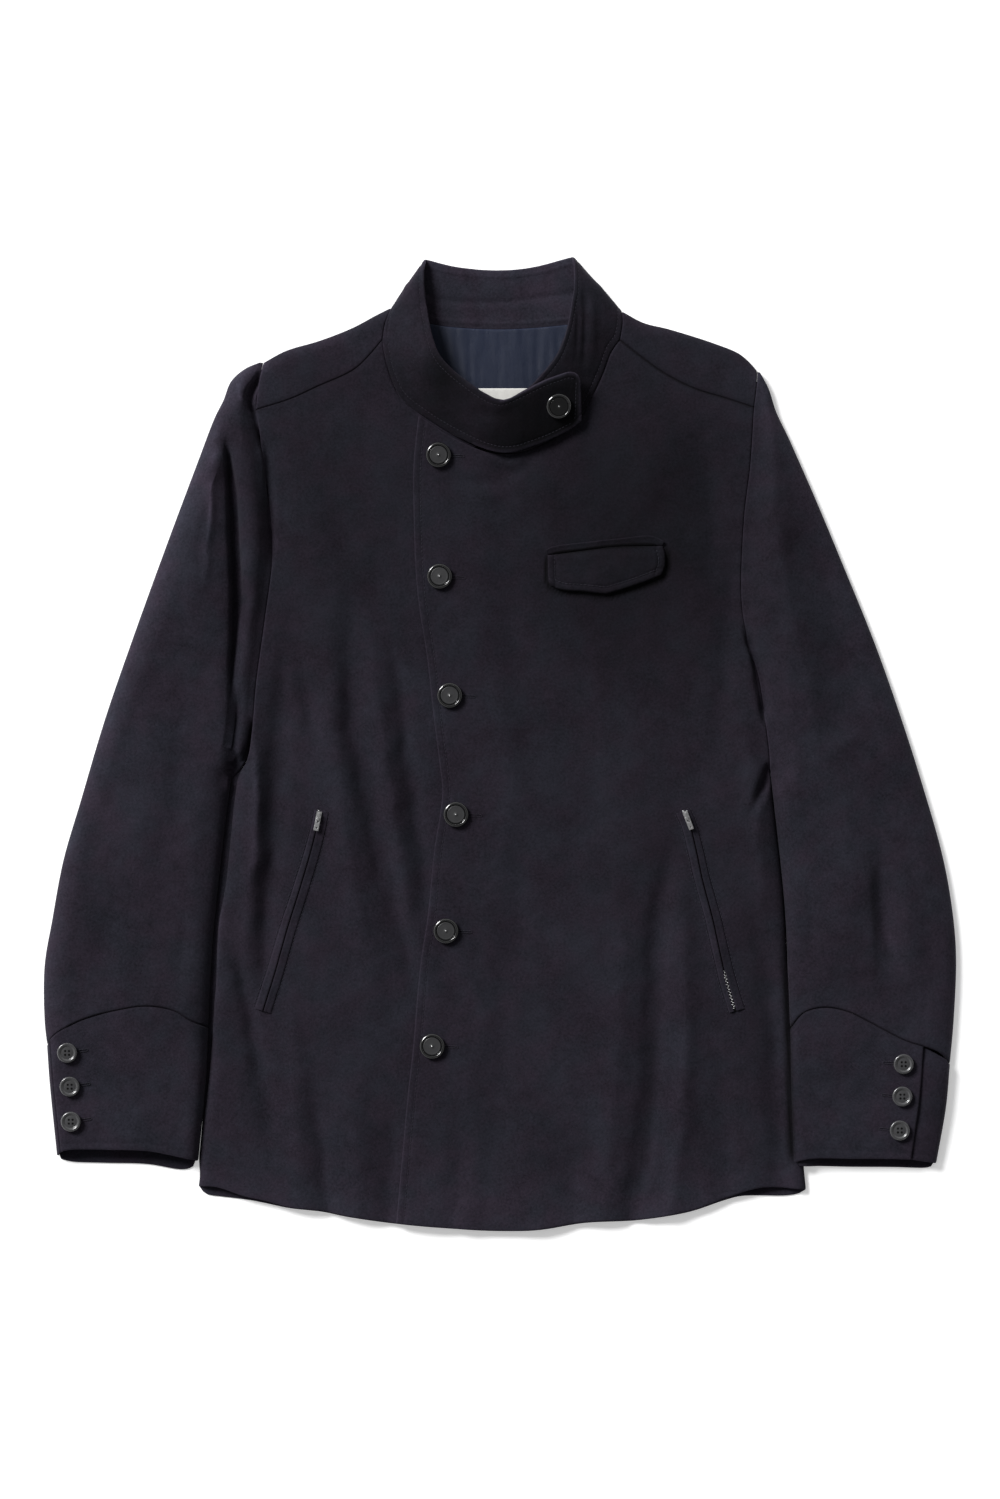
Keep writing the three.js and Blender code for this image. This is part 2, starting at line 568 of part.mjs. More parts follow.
function cuffPath(width, lap) {
  const rolled = (degrees) => CUFF_ROLL * (1 - Math.cos(THREE.MathUtils.degToRad(degrees)));
  const share = (degrees) => Math.sin(THREE.MathUtils.degToRad(degrees));
  const riseAt = (distance) => roll(distance, CUFF_ROLL);
  const path = [];
  const put = (across, rise, turned, layer, back) => path.push({ across, rise, corner: turned, layer, back });
  range(lap, width - CUFF_ROLL, 7).forEach((a) => put(a, riseAt(a), 0, 0, 0));
  [60, 40, 20, 0].forEach((degrees) => put(width - rolled(degrees), share(degrees), 0, 0, 0));
  const corner = (degrees) => CUFF_CORNER * (1 - share(90 - degrees));
  [45, 90].forEach((degrees) => put(width - corner(degrees), 0, share(degrees), 0, 0));
  range(width - 2 * CUFF_CORNER, 2 * CUFF_CORNER, 7).forEach((a) => put(a, 0, 1, 0, 1));
  [90, 45].forEach((degrees) => put(corner(degrees), 0, share(degrees), 0, 0));
  [0, 20, 40].forEach((degrees) => put(rolled(degrees), share(degrees), 0, 0, 0));
  range(Math.max(lap, rolled(60)), lap + CUFF_OVERLAP, 3).forEach((a) => put(a, riseAt(a), 0, 1, 0));
  return path;
}

function cuff(name) {
  const side = name.toLowerCase();
  const { lap, longer } = CUFF[side];
  const { base } = SLEEVE[side];
  const seam = CURVE[`cuffSeam${name}`];
  const hem = CURVE[`cuffHem${name}`];
  const width = Math.hypot(seam[0][0] - seam.at(-1)[0], seam[0][1] - seam.at(-1)[1]);
  const [outer, inner] = [CURVE[`cuffOut${name}`], CURVE[`cuffIn${name}`]];
  const path = cuffPath(width, lap);
  const points = range(0, 1, 4).map((v) => {
    const [o, i] = [pick(outer, [v])[0], pick(inner, [v])[0]];
    return path.map(({ across, rise, corner, layer, back }) => {
      const u = across / width;
      const [s, h] = [pick(seam, [u])[0], pick(hem, [u])[0]];
      const [x, y] = [0, 1].map((axis) => (1 - u) * o[axis] + u * i[axis] + (1 - v) * s[axis] + v * h[axis]
        - (1 - u) * (1 - v) * seam[0][axis] - u * (1 - v) * seam.at(-1)[axis]
        - (1 - u) * v * hem[0][axis] - u * v * hem.at(-1)[axis]);
      const floor = base(x, y);
      const height = THREE.MathUtils.lerp(SLEEVE_HEIGHT, CUFF_HEIGHT, v) - layer * CUFF_LAYER;
      const z = floor + CUFF_CORNER * (1 - corner) + rise * (height - CUFF_CORNER - floor);
      const hang = longer * back * (1 - Math.abs(2 * u - 1) ** CUFF_HANG_POWER);
      return new THREE.Vector3(x, y - CUFF_SEAM_INSET * (1 - v) - hang * v, z);
    });
  });
  const normals = gridNormals(points, 1);
  if (normals[2][2].z < 0) normals.flat().forEach((normal) => normal.negate());
  return sheet(points, normals, CUFF_CLOTH);
}

add('cuff_left', cuff('Left'), FABRIC);
add('cuff_right', cuff('Right'), FABRIC);

// Collar: one stiff band from under the tab, round the neck and on into the tab
const COLLAR_TOP = {
  frontRight: [[9, 273], [23, 284], [36, 298], [46, 312], [53, 332], [58, 362]],
  foldRight: [[58, 362], [58.5, 378], [58, 389]],
  back: [[58, 389], [28, 381], [-1, 378], [-37, 381], [-61, 387]],
  foldLeft: [[-61, 387], [-62, 374], [-60, 352]],
  frontLeft: [[-60, 352], [-54, 321], [-48, 308], [-40, 299], [-30, 290.5], [-14, 279], [-5, 274.3],
    [2, 273]],
  tab: [[2, 273], [7, 274.4], [15, 278.4], [35, 288.8], [47, 293.6], [55, 296], [60.5, 294.5],
    [63.5, 290]],
};
const TAB_LOW = [[-20, 237], [-9, 233], [0, 231.3], [11, 232], [19, 234.5], [35, 240], [47, 245.5],
  [58, 251.5], [64.5, 257]];

// Heights along each stretch of the band, at its seam and at its top edge
const COLLAR_HEIGHT = {
  frontRight: { low: [7.8, 7.8, 7.8, 7.6, 7.4], high: [18, 18.6, 18.6, 18, 16.6, 13.4] },
  frontLeft: { low: [7.4, 7.6, 7.8, 8.2, 9.2, 10.8, 12], high: [13.4, 18, 20.5, 22.4, 24, 25, 25.4] },
  tab: { low: [12, 12.9, 13.2, 13.2, 13, 13, 14.4], high: [25.4, 25.4, 25, 24, 22.6, 20.6] },
};
const COLLAR_FOLD_HEIGHT = 2.6; // middle of the fold above the floor, at the collar's top edge
const COLLAR_FOLD_WIDTH = 24;
const COLLAR_SIDE_HEIGHT = 13.4; // top edge where the front turns into the side fold
const COLLAR_BACK_ROLL = 6;
const COLLAR_BACK_WIDTH = 190;
const BACK_CORNER = 10;
const FRONT_RIGHT_START = 9; // x where the band's hidden end begins

// Value of a short table at fraction t, with straight steps
function level(table, t) {
  const spot = THREE.MathUtils.clamp(t, 0, 1) * (table.length - 1);
  const k = Math.min(table.length - 2, Math.floor(spot));
  return table[k] + (spot - k) * (table[k + 1] - table[k]);
}

function collarPieces() {
  const lowRight = after(reversed(CURVE.neckOver), FRONT_RIGHT_START);
  const sideRise = COLLAR_SIDE_HEIGHT - COLLAR_FOLD_HEIGHT;
  const sideFold = (mm) => COLLAR_FOLD_HEIGHT + sideRise * roll(mm, COLLAR_FOLD_WIDTH);
  const backFold = (mm) => COLLAR_FOLD_HEIGHT * (1 - roll(mm, COLLAR_BACK_ROLL));
  const foldSteps = rolledStart(BODY_ROLL, COLLAR_FOLD_WIDTH, 3);
  const tabSteps = [...even(9).slice(0, -1), 0.94, 1]; // closer together at the rounded end
  return [
    { key: 'frontRight', low: lowRight, steps: even(10) },
    {
      key: 'foldRight',
      low: CURVE.neckYokeRight,
      steps: flip(foldSteps),
      highAt: (mm, total) => sideFold(total - mm),
    },
    {
      key: 'back',
      low: reversed(CURVE.neckBack),
      steps: rolledBoth(BACK_CORNER, COLLAR_BACK_WIDTH, 7),
      onFloor: true,
      highAt: (mm, total) => backFold(Math.min(mm, total - mm)),
    },
    { key: 'foldLeft', low: reversed(CURVE.neckYokeLeft), steps: foldSteps, highAt: (mm) => sideFold(mm) },
    { key: 'frontLeft', low: CURVE.neckUnder, steps: even(13) },
    { key: 'tab', low: smooth(TAB_LOW), steps: tabSteps },
  ];
}

function collarStations() {
  return collarPieces().flatMap((piece, index) => {
    const highLine = smooth(COLLAR_TOP[piece.key]);
    const total = lengths(highLine).at(-1);
    const [low, high] = [pick(piece.low, piece.steps), pick(highLine, piece.steps)];
    const tables = COLLAR_HEIGHT[piece.key];
    return piece.steps.map((t, k) => {
      const onBody = piece.onFloor ? 0 : bodyTop(...low[k]);
      const lowZ = tables ? level(tables.low, t) : onBody;
      const highZ = tables ? level(tables.high, t) : piece.highAt(t * total, total);
      return [new THREE.Vector3(...low[k], lowZ), new THREE.Vector3(...high[k], highZ)];
    }).slice(index ? 1 : 0);
  });
}

const stations = collarStations();
const BAND_ROWS = [0.012, 0.25, 0.5, 0.75, 1]; // shares of the band's height
const collarGrid = BAND_ROWS.map((w) => stations.map(([low, high]) => low.clone().lerp(high, w)));

function collar() {
  const normals = gridNormals(collarGrid, 1);
  const last = normals[0].length - 1;
  if (normals[2][last - 4].z < 0) normals.flat().forEach((normal) => normal.negate());
  return sheet(collarGrid, normals, COLLAR_CLOTH);
}

add('collar', collar(), FABRIC);

// Lining inside the neck, on the back panel, with upright wrinkles, and the plain label on it
const LOOSE = 0.3; // air under cloth that lies freely
const LINING_LEVEL = CLOTH + LOOSE + LINING_CLOTH;
const LINING_BOX = { x: 60, low: 240 };
const WRINKLE = { height: 0.45, pitch: 5.5, slow: 13, uneven: 0.4 };
const wrinkle = (x) => WRINKLE.height * (1 + Math.sin(x / WRINKLE.pitch))
  * (1 + WRINKLE.uneven * Math.sin(x / WRINKLE.slow));
const liningTop = (x) => LINING_LEVEL + wrinkle(x);

function lining() {
  const steps = even(22);
  const neck = moved(CURVE.neckBack, -CLEAR).filter(([x]) => Math.abs(x) <= LINING_BOX.x);
  const [start, end] = [neck[0], neck.at(-1)];
  const low = [[start[0], LINING_BOX.low], [end[0], LINING_BOX.low]];
  const sides = [[low[0], start], [low[1], end]].map((line) => pick(line, even(3)));
  const grid = fill(pick(low, steps), pick(neck, steps), ...sides);
  return panel(grid, { top: liningTop, thickness: LINING_CLOTH });
}

const LABEL_BOX = { left: -18, right: 24, top: 283.5, bottom: 262 };
const LABEL_THICKNESS = 0.6;

function label() {
  const { left, right, top, bottom } = LABEL_BOX;
  const row = (y) => pick([[left, y], [right, y]], even(8));
  const column = (x) => pick([[x, bottom], [x, top]], even(2));
  const height = (x) => liningTop(x) + LOOSE + LABEL_THICKNESS;
  const grid = fill(row(bottom), row(top), column(left), column(right));
  return panel(grid, { top: height, thickness: LABEL_THICKNESS });
}

add('lining', lining(), LINING);
add('label', label(), LABEL);

// Chest pocket: a narrow welt and a pointed flap
const FLAP = {
  top: [[37, 150], [67, 154], [95, 157], [129, 157.5]],
  lowLeft: [[38, 127], [48, 122.5], [66, 121], [84, 119]],
  lowRight: [[84, 119], [104, 125], [128, 134]],
  right: [[128, 134], [131, 141], [131, 150], [129, 157.5]],
};
const WELT_TOP = [[36, 154.5], [41, 157], [67, 160.5], [95, 163.5], [120, 165.5], [130, 161.5]];
const WELT_OVERLAP = 0.4; // gap between the flap's top edge and the welt
const onFront = (thickness) => (x, y) => overTop(x, y) + ON_CLOTH + thickness;

function flap() {
  const low = join(pick(smooth(FLAP.lowLeft), even(6)), pick(smooth(FLAP.lowRight), even(6)));
  const grid = fill(low, pick(smooth(FLAP.top), even(12)), pick([low[0], FLAP.top[0]], even(4)),
    pick(smooth(FLAP.right), even(4)));
  return panel(grid, { top: onFront(FLAP_CLOTH), thickness: FLAP_CLOTH });
}

function welt() {
  const low = moved(smooth(FLAP.top), WELT_OVERLAP);
  const high = smooth(WELT_TOP);
  const steps = even(12);
  const grid = fill(pick(low, steps), pick(high, steps), [low[0], high[0]], [low.at(-1), high.at(-1)]);
  return panel(grid, { top: onFront(WELT_CLOTH), thickness: WELT_CLOTH });
}

add('chest_flap', flap(), FABRIC);
add('chest_welt', welt(), FABRIC);

// Hand pockets: a slanting zip with its slider and a pull that swings on the slider's bridge
const ZIP = {
  left: [[-145, -54], [-146.5, -64], [-152, -87], [-161, -117.5], [-171, -149.5], [-180, -181.5],
    [-186, -201], [-190, -214]],
  right: [[146, -54], [150.5, -64], [156, -86], [161, -109.5], [169, -140], [174, -163], [180, -189.5],
    [187, -214]],
};

// Closed geometries turned into solids that can be joined or cut, and back again
const solids = await Module();
solids.setup();

function solidOf(geometry) {
  geometry.deleteAttribute('normal');
  geometry.deleteAttribute('uv');
  const merged = mergeVertices(geometry);
  return new solids.Manifold(new solids.Mesh({
    numProp: 3,
    vertProperties: Float32Array.from(merged.attributes.position.array),
    triVerts: Uint32Array.from(merged.index.array),
  }));
}

function geometryOf(manifold) {
  const mesh = manifold.getMesh();
  const geometry = new THREE.BufferGeometry();
  geometry.setAttribute('position', new THREE.Float32BufferAttribute(mesh.vertProperties, mesh.numProp));
  geometry.setIndex(Array.from(mesh.triVerts));
  geometry.computeVertexNormals();
  return geometry;
}

const block = (x, y, z) => solidOf(new THREE.BoxGeometry(x, y, z));

function zipStrip(line) {
  const steps = even(16);
  const [low, high] = [moved(line, -ZIP_WIDTH / 2), moved(line, ZIP_WIDTH / 2)];
  const grid = fill(pick(low, steps), pick(high, steps), [low[0], high[0]], [low.at(-1), high.at(-1)]);
  return (top) => panel(grid, {
    top: (x, y) => top(x, y) + ON_CLOTH + ZIP_THICKNESS,
    thickness: ZIP_THICKNESS,
  });
}

const SLIDER = {
  width: 4, length: 8.6, height: 1.8, bridge: 1.1, bridgeLength: 6, bridgeHeight: 3.2, bar: 1.1,
};
const SLIDER_MOUTH = { width: 1.3, from: 0.36 }; // slot for the teeth, and how much of the body is solid
const PULL = {
  width: 3.8, length: 10.6, thickness: 0.9, rim: 0.95, eye: [2.3, 3.2], axis: 1.2, reach: 1.1,
};
const PULL_HOLE = { radius: 0.6, fromEnd: 2.2, sides: 12 };
const SUNK = 0.01; // overlap that makes two blocks one solid

// Slider along +X, with its bridge; its foot is at z = 0
function sliderSolid() {
  const { width, length, height, bridge, bridgeLength, bridgeHeight, bar } = SLIDER;
  const mouthAt = length * (0.5 + SLIDER_MOUTH.from);
  const mouth = block(length, SLIDER_MOUTH.width, height).translate([mouthAt, 0, height / 2]);
  const body = block(length, width, height).translate([0, 0, height / 2]).subtract(mouth);
  const under = bridgeHeight - bar;
  const tunnel = block(bridgeLength - 2 * bar, bridge * 2, under).translate([0, 0, height + under / 2]);
  const archBlock = block(bridgeLength, bridge, bridgeHeight).translate([0, 0, height + bridgeHeight / 2]);
  return body.add(archBlock.subtract(tunnel).translate([0, 0, -SUNK]));
}

// Pull hanging along +X from its crossbar, which turns about Y at the origin
function pullSolid() {
  const { width, length, thickness, rim, eye } = PULL;
  const plate = block(length, width, thickness).translate([length / 2 - rim / 2, 0, 0]);
  const { radius, fromEnd, sides } = PULL_HOLE;
  const hole = solidOf(new THREE.CylinderGeometry(radius, radius, thickness * 2, sides).rotateX(Math.PI / 2));
  return plate
    .subtract(block(eye[1], eye[0], thickness * 2).translate([rim / 2 + eye[1] / 2, 0, 0]))
    .subtract(hole.translate([length - rim / 2 - fromEnd, 0, 0]));
}

const SLIDER_PLACE = [0.03, 0.09]; // shares of the zip's length that set the slider's place and heading

['left', 'right'].forEach((side) => {
  const line = smooth(ZIP[side]);
  const top = side === 'left' ? bodyTop : overTop;
  add(`zip_${side}`, zipStrip(line)(top), TAPE);
  const [a, b] = pick(line, SLIDER_PLACE);
  const turn = Math.atan2(b[1] - a[1], b[0] - a[0]);
  const [ux, uy] = [Math.cos(turn), Math.sin(turn)];
  const reach = SLIDER.length / 2;
  const under = [-reach, 0, reach].map((along) => top(a[0] + along * ux, a[1] + along * uy));
  const foot = Math.max(...under) + ON_CLOTH + ZIP_THICKNESS + LOOSE;
  const slider = add(`zip_slider_${side}`, geometryOf(sliderSolid()), METAL);
  slider.position.set(a[0], a[1], foot);
  slider.rotation.z = turn;
  const pull = add(`zip_pull_${side}`, geometryOf(pullSolid()), METAL);
  const axle = new THREE.Vector3(PULL.reach * ux, PULL.reach * uy, SLIDER.height + PULL.axis);
  pull.position.copy(slider.position).add(axle);
  pull.rotation.z = turn;
});

// Buttons, turned about their own axis
const BUTTON_PROFILE = [[0, 0], [0.84, 0], [0.96, 0.08], [1, 0.22], [0.93, 0.33], [0.78, 0.34],
  [0.68, 0.25], [0.58, 0.27], [0, 0.28]];
const CUFF_BUTTON_PROFILE = [[0, 0], [0.84, 0], [0.97, 0.1], [1, 0.24], [0.9, 0.35], [0.74, 0.34],
  [0.62, 0.24], [0, 0.2]];
const BUTTON_LIFT = 0.7; // thread shank
const BUTTON_SIDES = 18;
const SEAT_SHARE = 0.42; // radius of the cloth a button rests on, as a share of its diameter

function button(name, profile, diameter, foot, normal) {
  const points = profile.map(([r, z]) => new THREE.Vector2(r * diameter / 2, z * diameter / 2));
  const mesh = add(name, new THREE.LatheGeometry(points, BUTTON_SIDES), BUTTON);
  mesh.quaternion.setFromUnitVectors(new THREE.Vector3(0, 1, 0), normal);
  mesh.position.copy(foot).addScaledVector(normal, BUTTON_LIFT);
}

function slopeNormal(top, x, y, reach) {
  const dx = (top(x + reach, y) - top(x - reach, y)) / (2 * reach);
  const dy = (top(x, y + reach) - top(x, y - reach)) / (2 * reach);
  return new THREE.Vector3(-dx, -dy, 1).normalize();
}

// Foot of a button: level with the highest cloth under it
function seat(top, x, y, radius) {
  const normal = slopeNormal(top, x, y, radius);
  const foot = new THREE.Vector3(x, y, top(x, y));
  const over = even(11).map((t) => {
    const [dx, dy] = [radius * Math.cos(t * 2 * Math.PI), radius * Math.sin(t * 2 * Math.PI)];
    return normal.dot(new THREE.Vector3(x + dx, y + dy, top(x + dx, y + dy)).sub(foot));
  });
  return [foot.addScaledVector(normal, Math.max(0, ...over)), normal];
}

const FRONT_BUTTONS = [[-50, 230], [-49, 133], [-41, 38], [-36, -57], [-44, -150], [-55, -242]];
FRONT_BUTTONS.forEach(([x, y], index) => {
  const place = seat(overTop, x, y, SEAT_SHARE * BUTTON_DIAMETER);
  button(`front_button_${index + 1}`, BUTTON_PROFILE, BUTTON_DIAMETER, ...place);
});

// Height of a cuff's outer face
const CUFF_SPAN = [235, 330]; // depth below the middle of the body where a cuff begins and ends
const cuffTop = (side) => (x, y) => {
  const name = side === 'left' ? 'Left' : 'Right';
  const [o, i] = [xAt(CURVE[`cuffOut${name}`], y), xAt(CURVE[`cuffIn${name}`], y)];
  const floor = SLEEVE[side].base(x, y);
  const v = smoothstep(-y, CUFF_SPAN[0], CUFF_SPAN[1]);
  const rise = roll(Math.min(Math.abs(x - o), Math.abs(x - i)), CUFF_ROLL);
  const height = THREE.MathUtils.lerp(SLEEVE_HEIGHT, CUFF_HEIGHT, v);
  return floor + CUFF_CORNER + rise * (height - CUFF_CORNER - floor);
};

const CUFF_BUTTONS = {
  left: [[-346, -247], [-344, -274], [-343, -302]],
  right: [[321, -256], [320, -282], [318, -309]],
};
['left', 'right'].forEach((side) => CUFF_BUTTONS[side].forEach(([x, y], index) => {
  button(`cuff_button_${side}_${index + 1}`, CUFF_BUTTON_PROFILE, CUFF_BUTTON_DIAMETER,
    ...seat(cuffTop(side), x, y, SEAT_SHARE * CUFF_BUTTON_DIAMETER));
}));

// Button of the collar tab, on the band's outer face
const TAB_BUTTON = [45, 268];
const TAB_STATIONS = 11; // stations of the band that belong to the tab
const TAB_BUTTON_RISE = 0.5; // above the band's flat facets

function tabButton() {
  const spot = new THREE.Vector2(...TAB_BUTTON);
  const faces = collarGrid.slice(0, -1).flatMap((row, j) => row.slice(-TAB_STATIONS, -1).map((_, k) => {
    const i = row.length - TAB_STATIONS + k;
    return [collarGrid[j][i], collarGrid[j][i + 1], collarGrid[j + 1][i]];
  }));
  const centre = ([a, b, c]) => a.clone().add(b).add(c).divideScalar(3);
  const nearestFace = faces.reduce((best, face) => {
    const distance = (f) => new THREE.Vector2(centre(f).x, centre(f).y).distanceTo(spot);
    return distance(face) < distance(best) ? face : best;
  });
  const [a, b, c] = nearestFace;
  const normal = b.clone().sub(a).cross(c.clone().sub(a)).normalize();
  if (normal.z < 0) normal.negate();
  const z = a.z - (normal.x * (spot.x - a.x) + normal.y * (spot.y - a.y)) / normal.z;
  return [new THREE.Vector3(spot.x, spot.y, z), normal];
}

const [tabFoot, tabNormal] = tabButton();
tabFoot.addScaledVector(tabNormal, TAB_BUTTON_RISE);
button('tab_button', BUTTON_PROFILE, BUTTON_DIAMETER, tabFoot, tabNormal);

export default jacket;
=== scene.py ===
import math

import bpy
import numpy as np
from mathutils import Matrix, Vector


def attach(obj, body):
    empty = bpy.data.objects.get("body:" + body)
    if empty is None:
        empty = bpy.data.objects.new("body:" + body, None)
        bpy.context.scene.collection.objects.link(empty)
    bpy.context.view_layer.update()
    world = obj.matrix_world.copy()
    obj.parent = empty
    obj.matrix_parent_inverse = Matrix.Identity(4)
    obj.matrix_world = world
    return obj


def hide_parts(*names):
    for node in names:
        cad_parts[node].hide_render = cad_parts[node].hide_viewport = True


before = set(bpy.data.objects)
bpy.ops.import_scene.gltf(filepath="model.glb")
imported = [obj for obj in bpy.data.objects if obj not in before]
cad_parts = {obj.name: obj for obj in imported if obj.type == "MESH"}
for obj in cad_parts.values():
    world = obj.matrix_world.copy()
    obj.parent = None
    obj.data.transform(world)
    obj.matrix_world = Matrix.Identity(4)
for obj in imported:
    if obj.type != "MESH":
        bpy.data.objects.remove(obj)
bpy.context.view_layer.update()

# A dark stand-collar jacket with a slanting buttoned front, laid flat on its back.
# Lengths here are millimetres and become metres when a mesh is made.
# "Left" and "right" are sides seen from above.

MM = 0.001
CLOTH = 1.6
COLLAR_CLOTH = 2.2
CUFF_CLOTH = 1.8
LINING_CLOTH = 0.7
FLAP_CLOTH = 2.0
BODY_HEIGHT = 7.4
BODY_ROLL = 9
SLEEVE_HEIGHT = 14
SLEEVE_ROLL = 20
CUFF_HEIGHT = 12.5
CUFF_ROLL = 12
CUFF_CORNER = 2.4
CUFF_OVERLAP = 12
CUFF_SEAM_INSET = 0.3
CUFF = {"left": {"lap": 5, "longer": 11}, "right": {"lap": 24, "longer": 7}}
PLACKET_OVERLAP = 48
OVERLAP_FADE = 24
OVERLAP_LAYER = 2.6
SIDE_INSET = 0.1
SEAM_INSET = 0.1
BACK_INSET = 0.3
UNDER_LEVEL = 1.7
SLEEVE_OVER_BODY = 7.2
SLEEVE_LIFT_WIDTH = 14
LIFT_RANGE = (-150, -212)
SEAM_BLEND = {"left": 15, "right": 24}
TOPSTITCH = 6.0
STITCH = {"pitch": 3.0, "length": 2.3, "radius": 0.24}
BUTTONHOLE_STITCH = {"pitch": 0.55, "length": 0.5, "radius": 0.42}
SEED = 11

LINE = {
    "sideLeft": [(-242, -354), (-240, -336), (-236, -290), (-231, -166), (-222, -76), (-216, -29)],
    "sideFront": [(-241.5, -354), (-240.8, -342), (-240, -326), (-238.4, -310), (-236.8, -294),
                  (-234.8, -278), (-233, -262), (-231, -238), (-229.2, -206), (-228, -194), (-227.4, -174),
                  (-226.8, -158), (-225.6, -142), (-222.4, -126), (-219.6, -110), (-218.4, -98),
                  (-217.2, -86), (-216, -74), (-214.8, -62), (-213.6, -50), (-212, -38), (-210.4, -28),
                  (-207.5, -20.5), (-204, -15)],
    "sideRight": [(244, -357), (242, -336), (236, -246), (229, -174), (226, -124), (218, -49), (215, -23)],
    "armFrontLeft": [(-216, -29), (-204, -15), (-199, 10), (-196, 46), (-189, 98), (-183, 149), (-186, 196),
                     (-192, 242), (-196, 266)],
    "armFrontRight": [(215, -23), (214, -6), (211, 18), (206, 52), (197, 82), (192, 114), (194, 180),
                      (199, 222), (202, 268)],
    "armYokeLeft": [(-196, 266), (-194, 285), (-190, 304)],
    "armYokeRight": [(202, 268), (204, 283), (205, 297)],
    "shoulderLeft": [(-190, 304.5), (-172, 314), (-145, 322), (-119, 332), (-100, 342), (-88, 348)],
    "shoulderRight": [(205, 297), (201, 302), (191, 311), (172, 319), (134, 331), (114, 336), (97, 345)],
    "yokeLeft": [(-196, 266), (-168, 275), (-146, 285), (-118, 298), (-105, 310), (-95, 322)],
    "yokeRight": [(202, 268), (181, 275), (155, 283), (131, 295), (110, 310), (95, 322)],
    "neckYokeLeft": [(-95, 322), (-93, 335), (-88, 348)],
    "neckYokeRight": [(95, 322), (97, 335), (97, 345)],
    "neckUnder": [(-95, 322), (-92, 304), (-87, 288), (-80, 275), (-66.5, 264), (-50, 253), (-36, 245),
                  (-20, 237)],
    "neckOver": [(95, 322), (88, 312), (81, 294), (74, 279), (64, 261), (47, 247), (30, 237), (9, 231),
                 (-9, 232), (-24, 237), (-41, 245), (-52, 252), (-66, 262)],
    "neckBack": [(-88, 348), (-69, 338), (-49, 333), (-1, 330), (47, 333), (75, 337), (97, 345)],
    "placket": [(-84, -384), (-75, -285), (-70, -239), (-65, -180), (-59, -140), (-54, -89), (-47, -40),
                (-49, -18), (-54, 21), (-59, 67), (-67, 121), (-70, 187), (-70, 223), (-66, 262)],
    "hem": [(-242, -354), (-227, -355), (-206, -362), (-188, -366), (-169, -371), (-142, -374),
            (-123, -378), (-84, -384), (-39, -388), (-1, -390), (31, -389), (66, -383), (111, -381),
            (151, -374), (184, -362), (211, -355), (244, -357)],
    "outLeft": [(-193, 304), (-205, 299), (-216, 289), (-222, 274), (-229, 260), (-242, 226), (-266, 162),
                (-295, 82), (-317, 18), (-336, -46), (-350, -94), (-359, -142), (-365, -178), (-365, -222),
                (-363, -241)],
    "outRight": [(207, 296), (214, 283), (220, 265), (230, 244), (238, 226), (252, 194), (272, 146),
                 (298, 82), (318, 26), (336, -30), (354, -94), (362, -142), (364, -174), (362, -222),
                 (359, -256)],
    "innerLeft": [(-216, -29), (-222, -76), (-231, -166), (-234, -227)],
    "innerRight": [(215, -23), (218, -49), (226, -124), (229, -174), (231, -227)],
    "cuffSeamLeft": [(-363, -241), (-358, -234), (-335, -221), (-310, -214), (-283, -210), (-260, -214),
                     (-249, -221), (-234, -227)],
    "cuffSeamRight": [(359, -256), (350, -247), (322, -237), (293, -222), (276, -214), (258, -211),
                      (242, -215), (231, -227)],
    "cuffOutLeft": [(-363, -241), (-361, -270), (-355, -330)],
    "cuffOutRight": [(359, -256), (356, -290), (348, -336)],
    "cuffInLeft": [(-234, -227), (-236, -270), (-242, -334)],
    "cuffInRight": [(231, -227), (232, -280), (234, -335)],
    "cuffHemLeft": [(-355, -330), (-350, -326), (-308, -325), (-281, -326), (-260, -330), (-242, -334)],
    "cuffHemRight": [(348, -336), (331, -333), (281, -332), (247, -332), (234, -335)],
    "hemBack": [(-241.5, -353), (-236, -359.5), (-225, -361.5), (-212, -363), (-198, -365), (-188, -367),
                (-169, -371), (-142, -374), (-123, -378), (-84, -383.5), (-39, -387.5), (-1, -389),
                (31, -388.5), (66, -383), (111, -380.5), (151, -374), (178, -365), (191, -361.5),
                (205, -360.8), (229, -360.8), (239, -359), (244, -356)],
    "hindSeamRight": [(346, -66), (342, -95), (339, -140), (338, -200), (338, -243)],
}

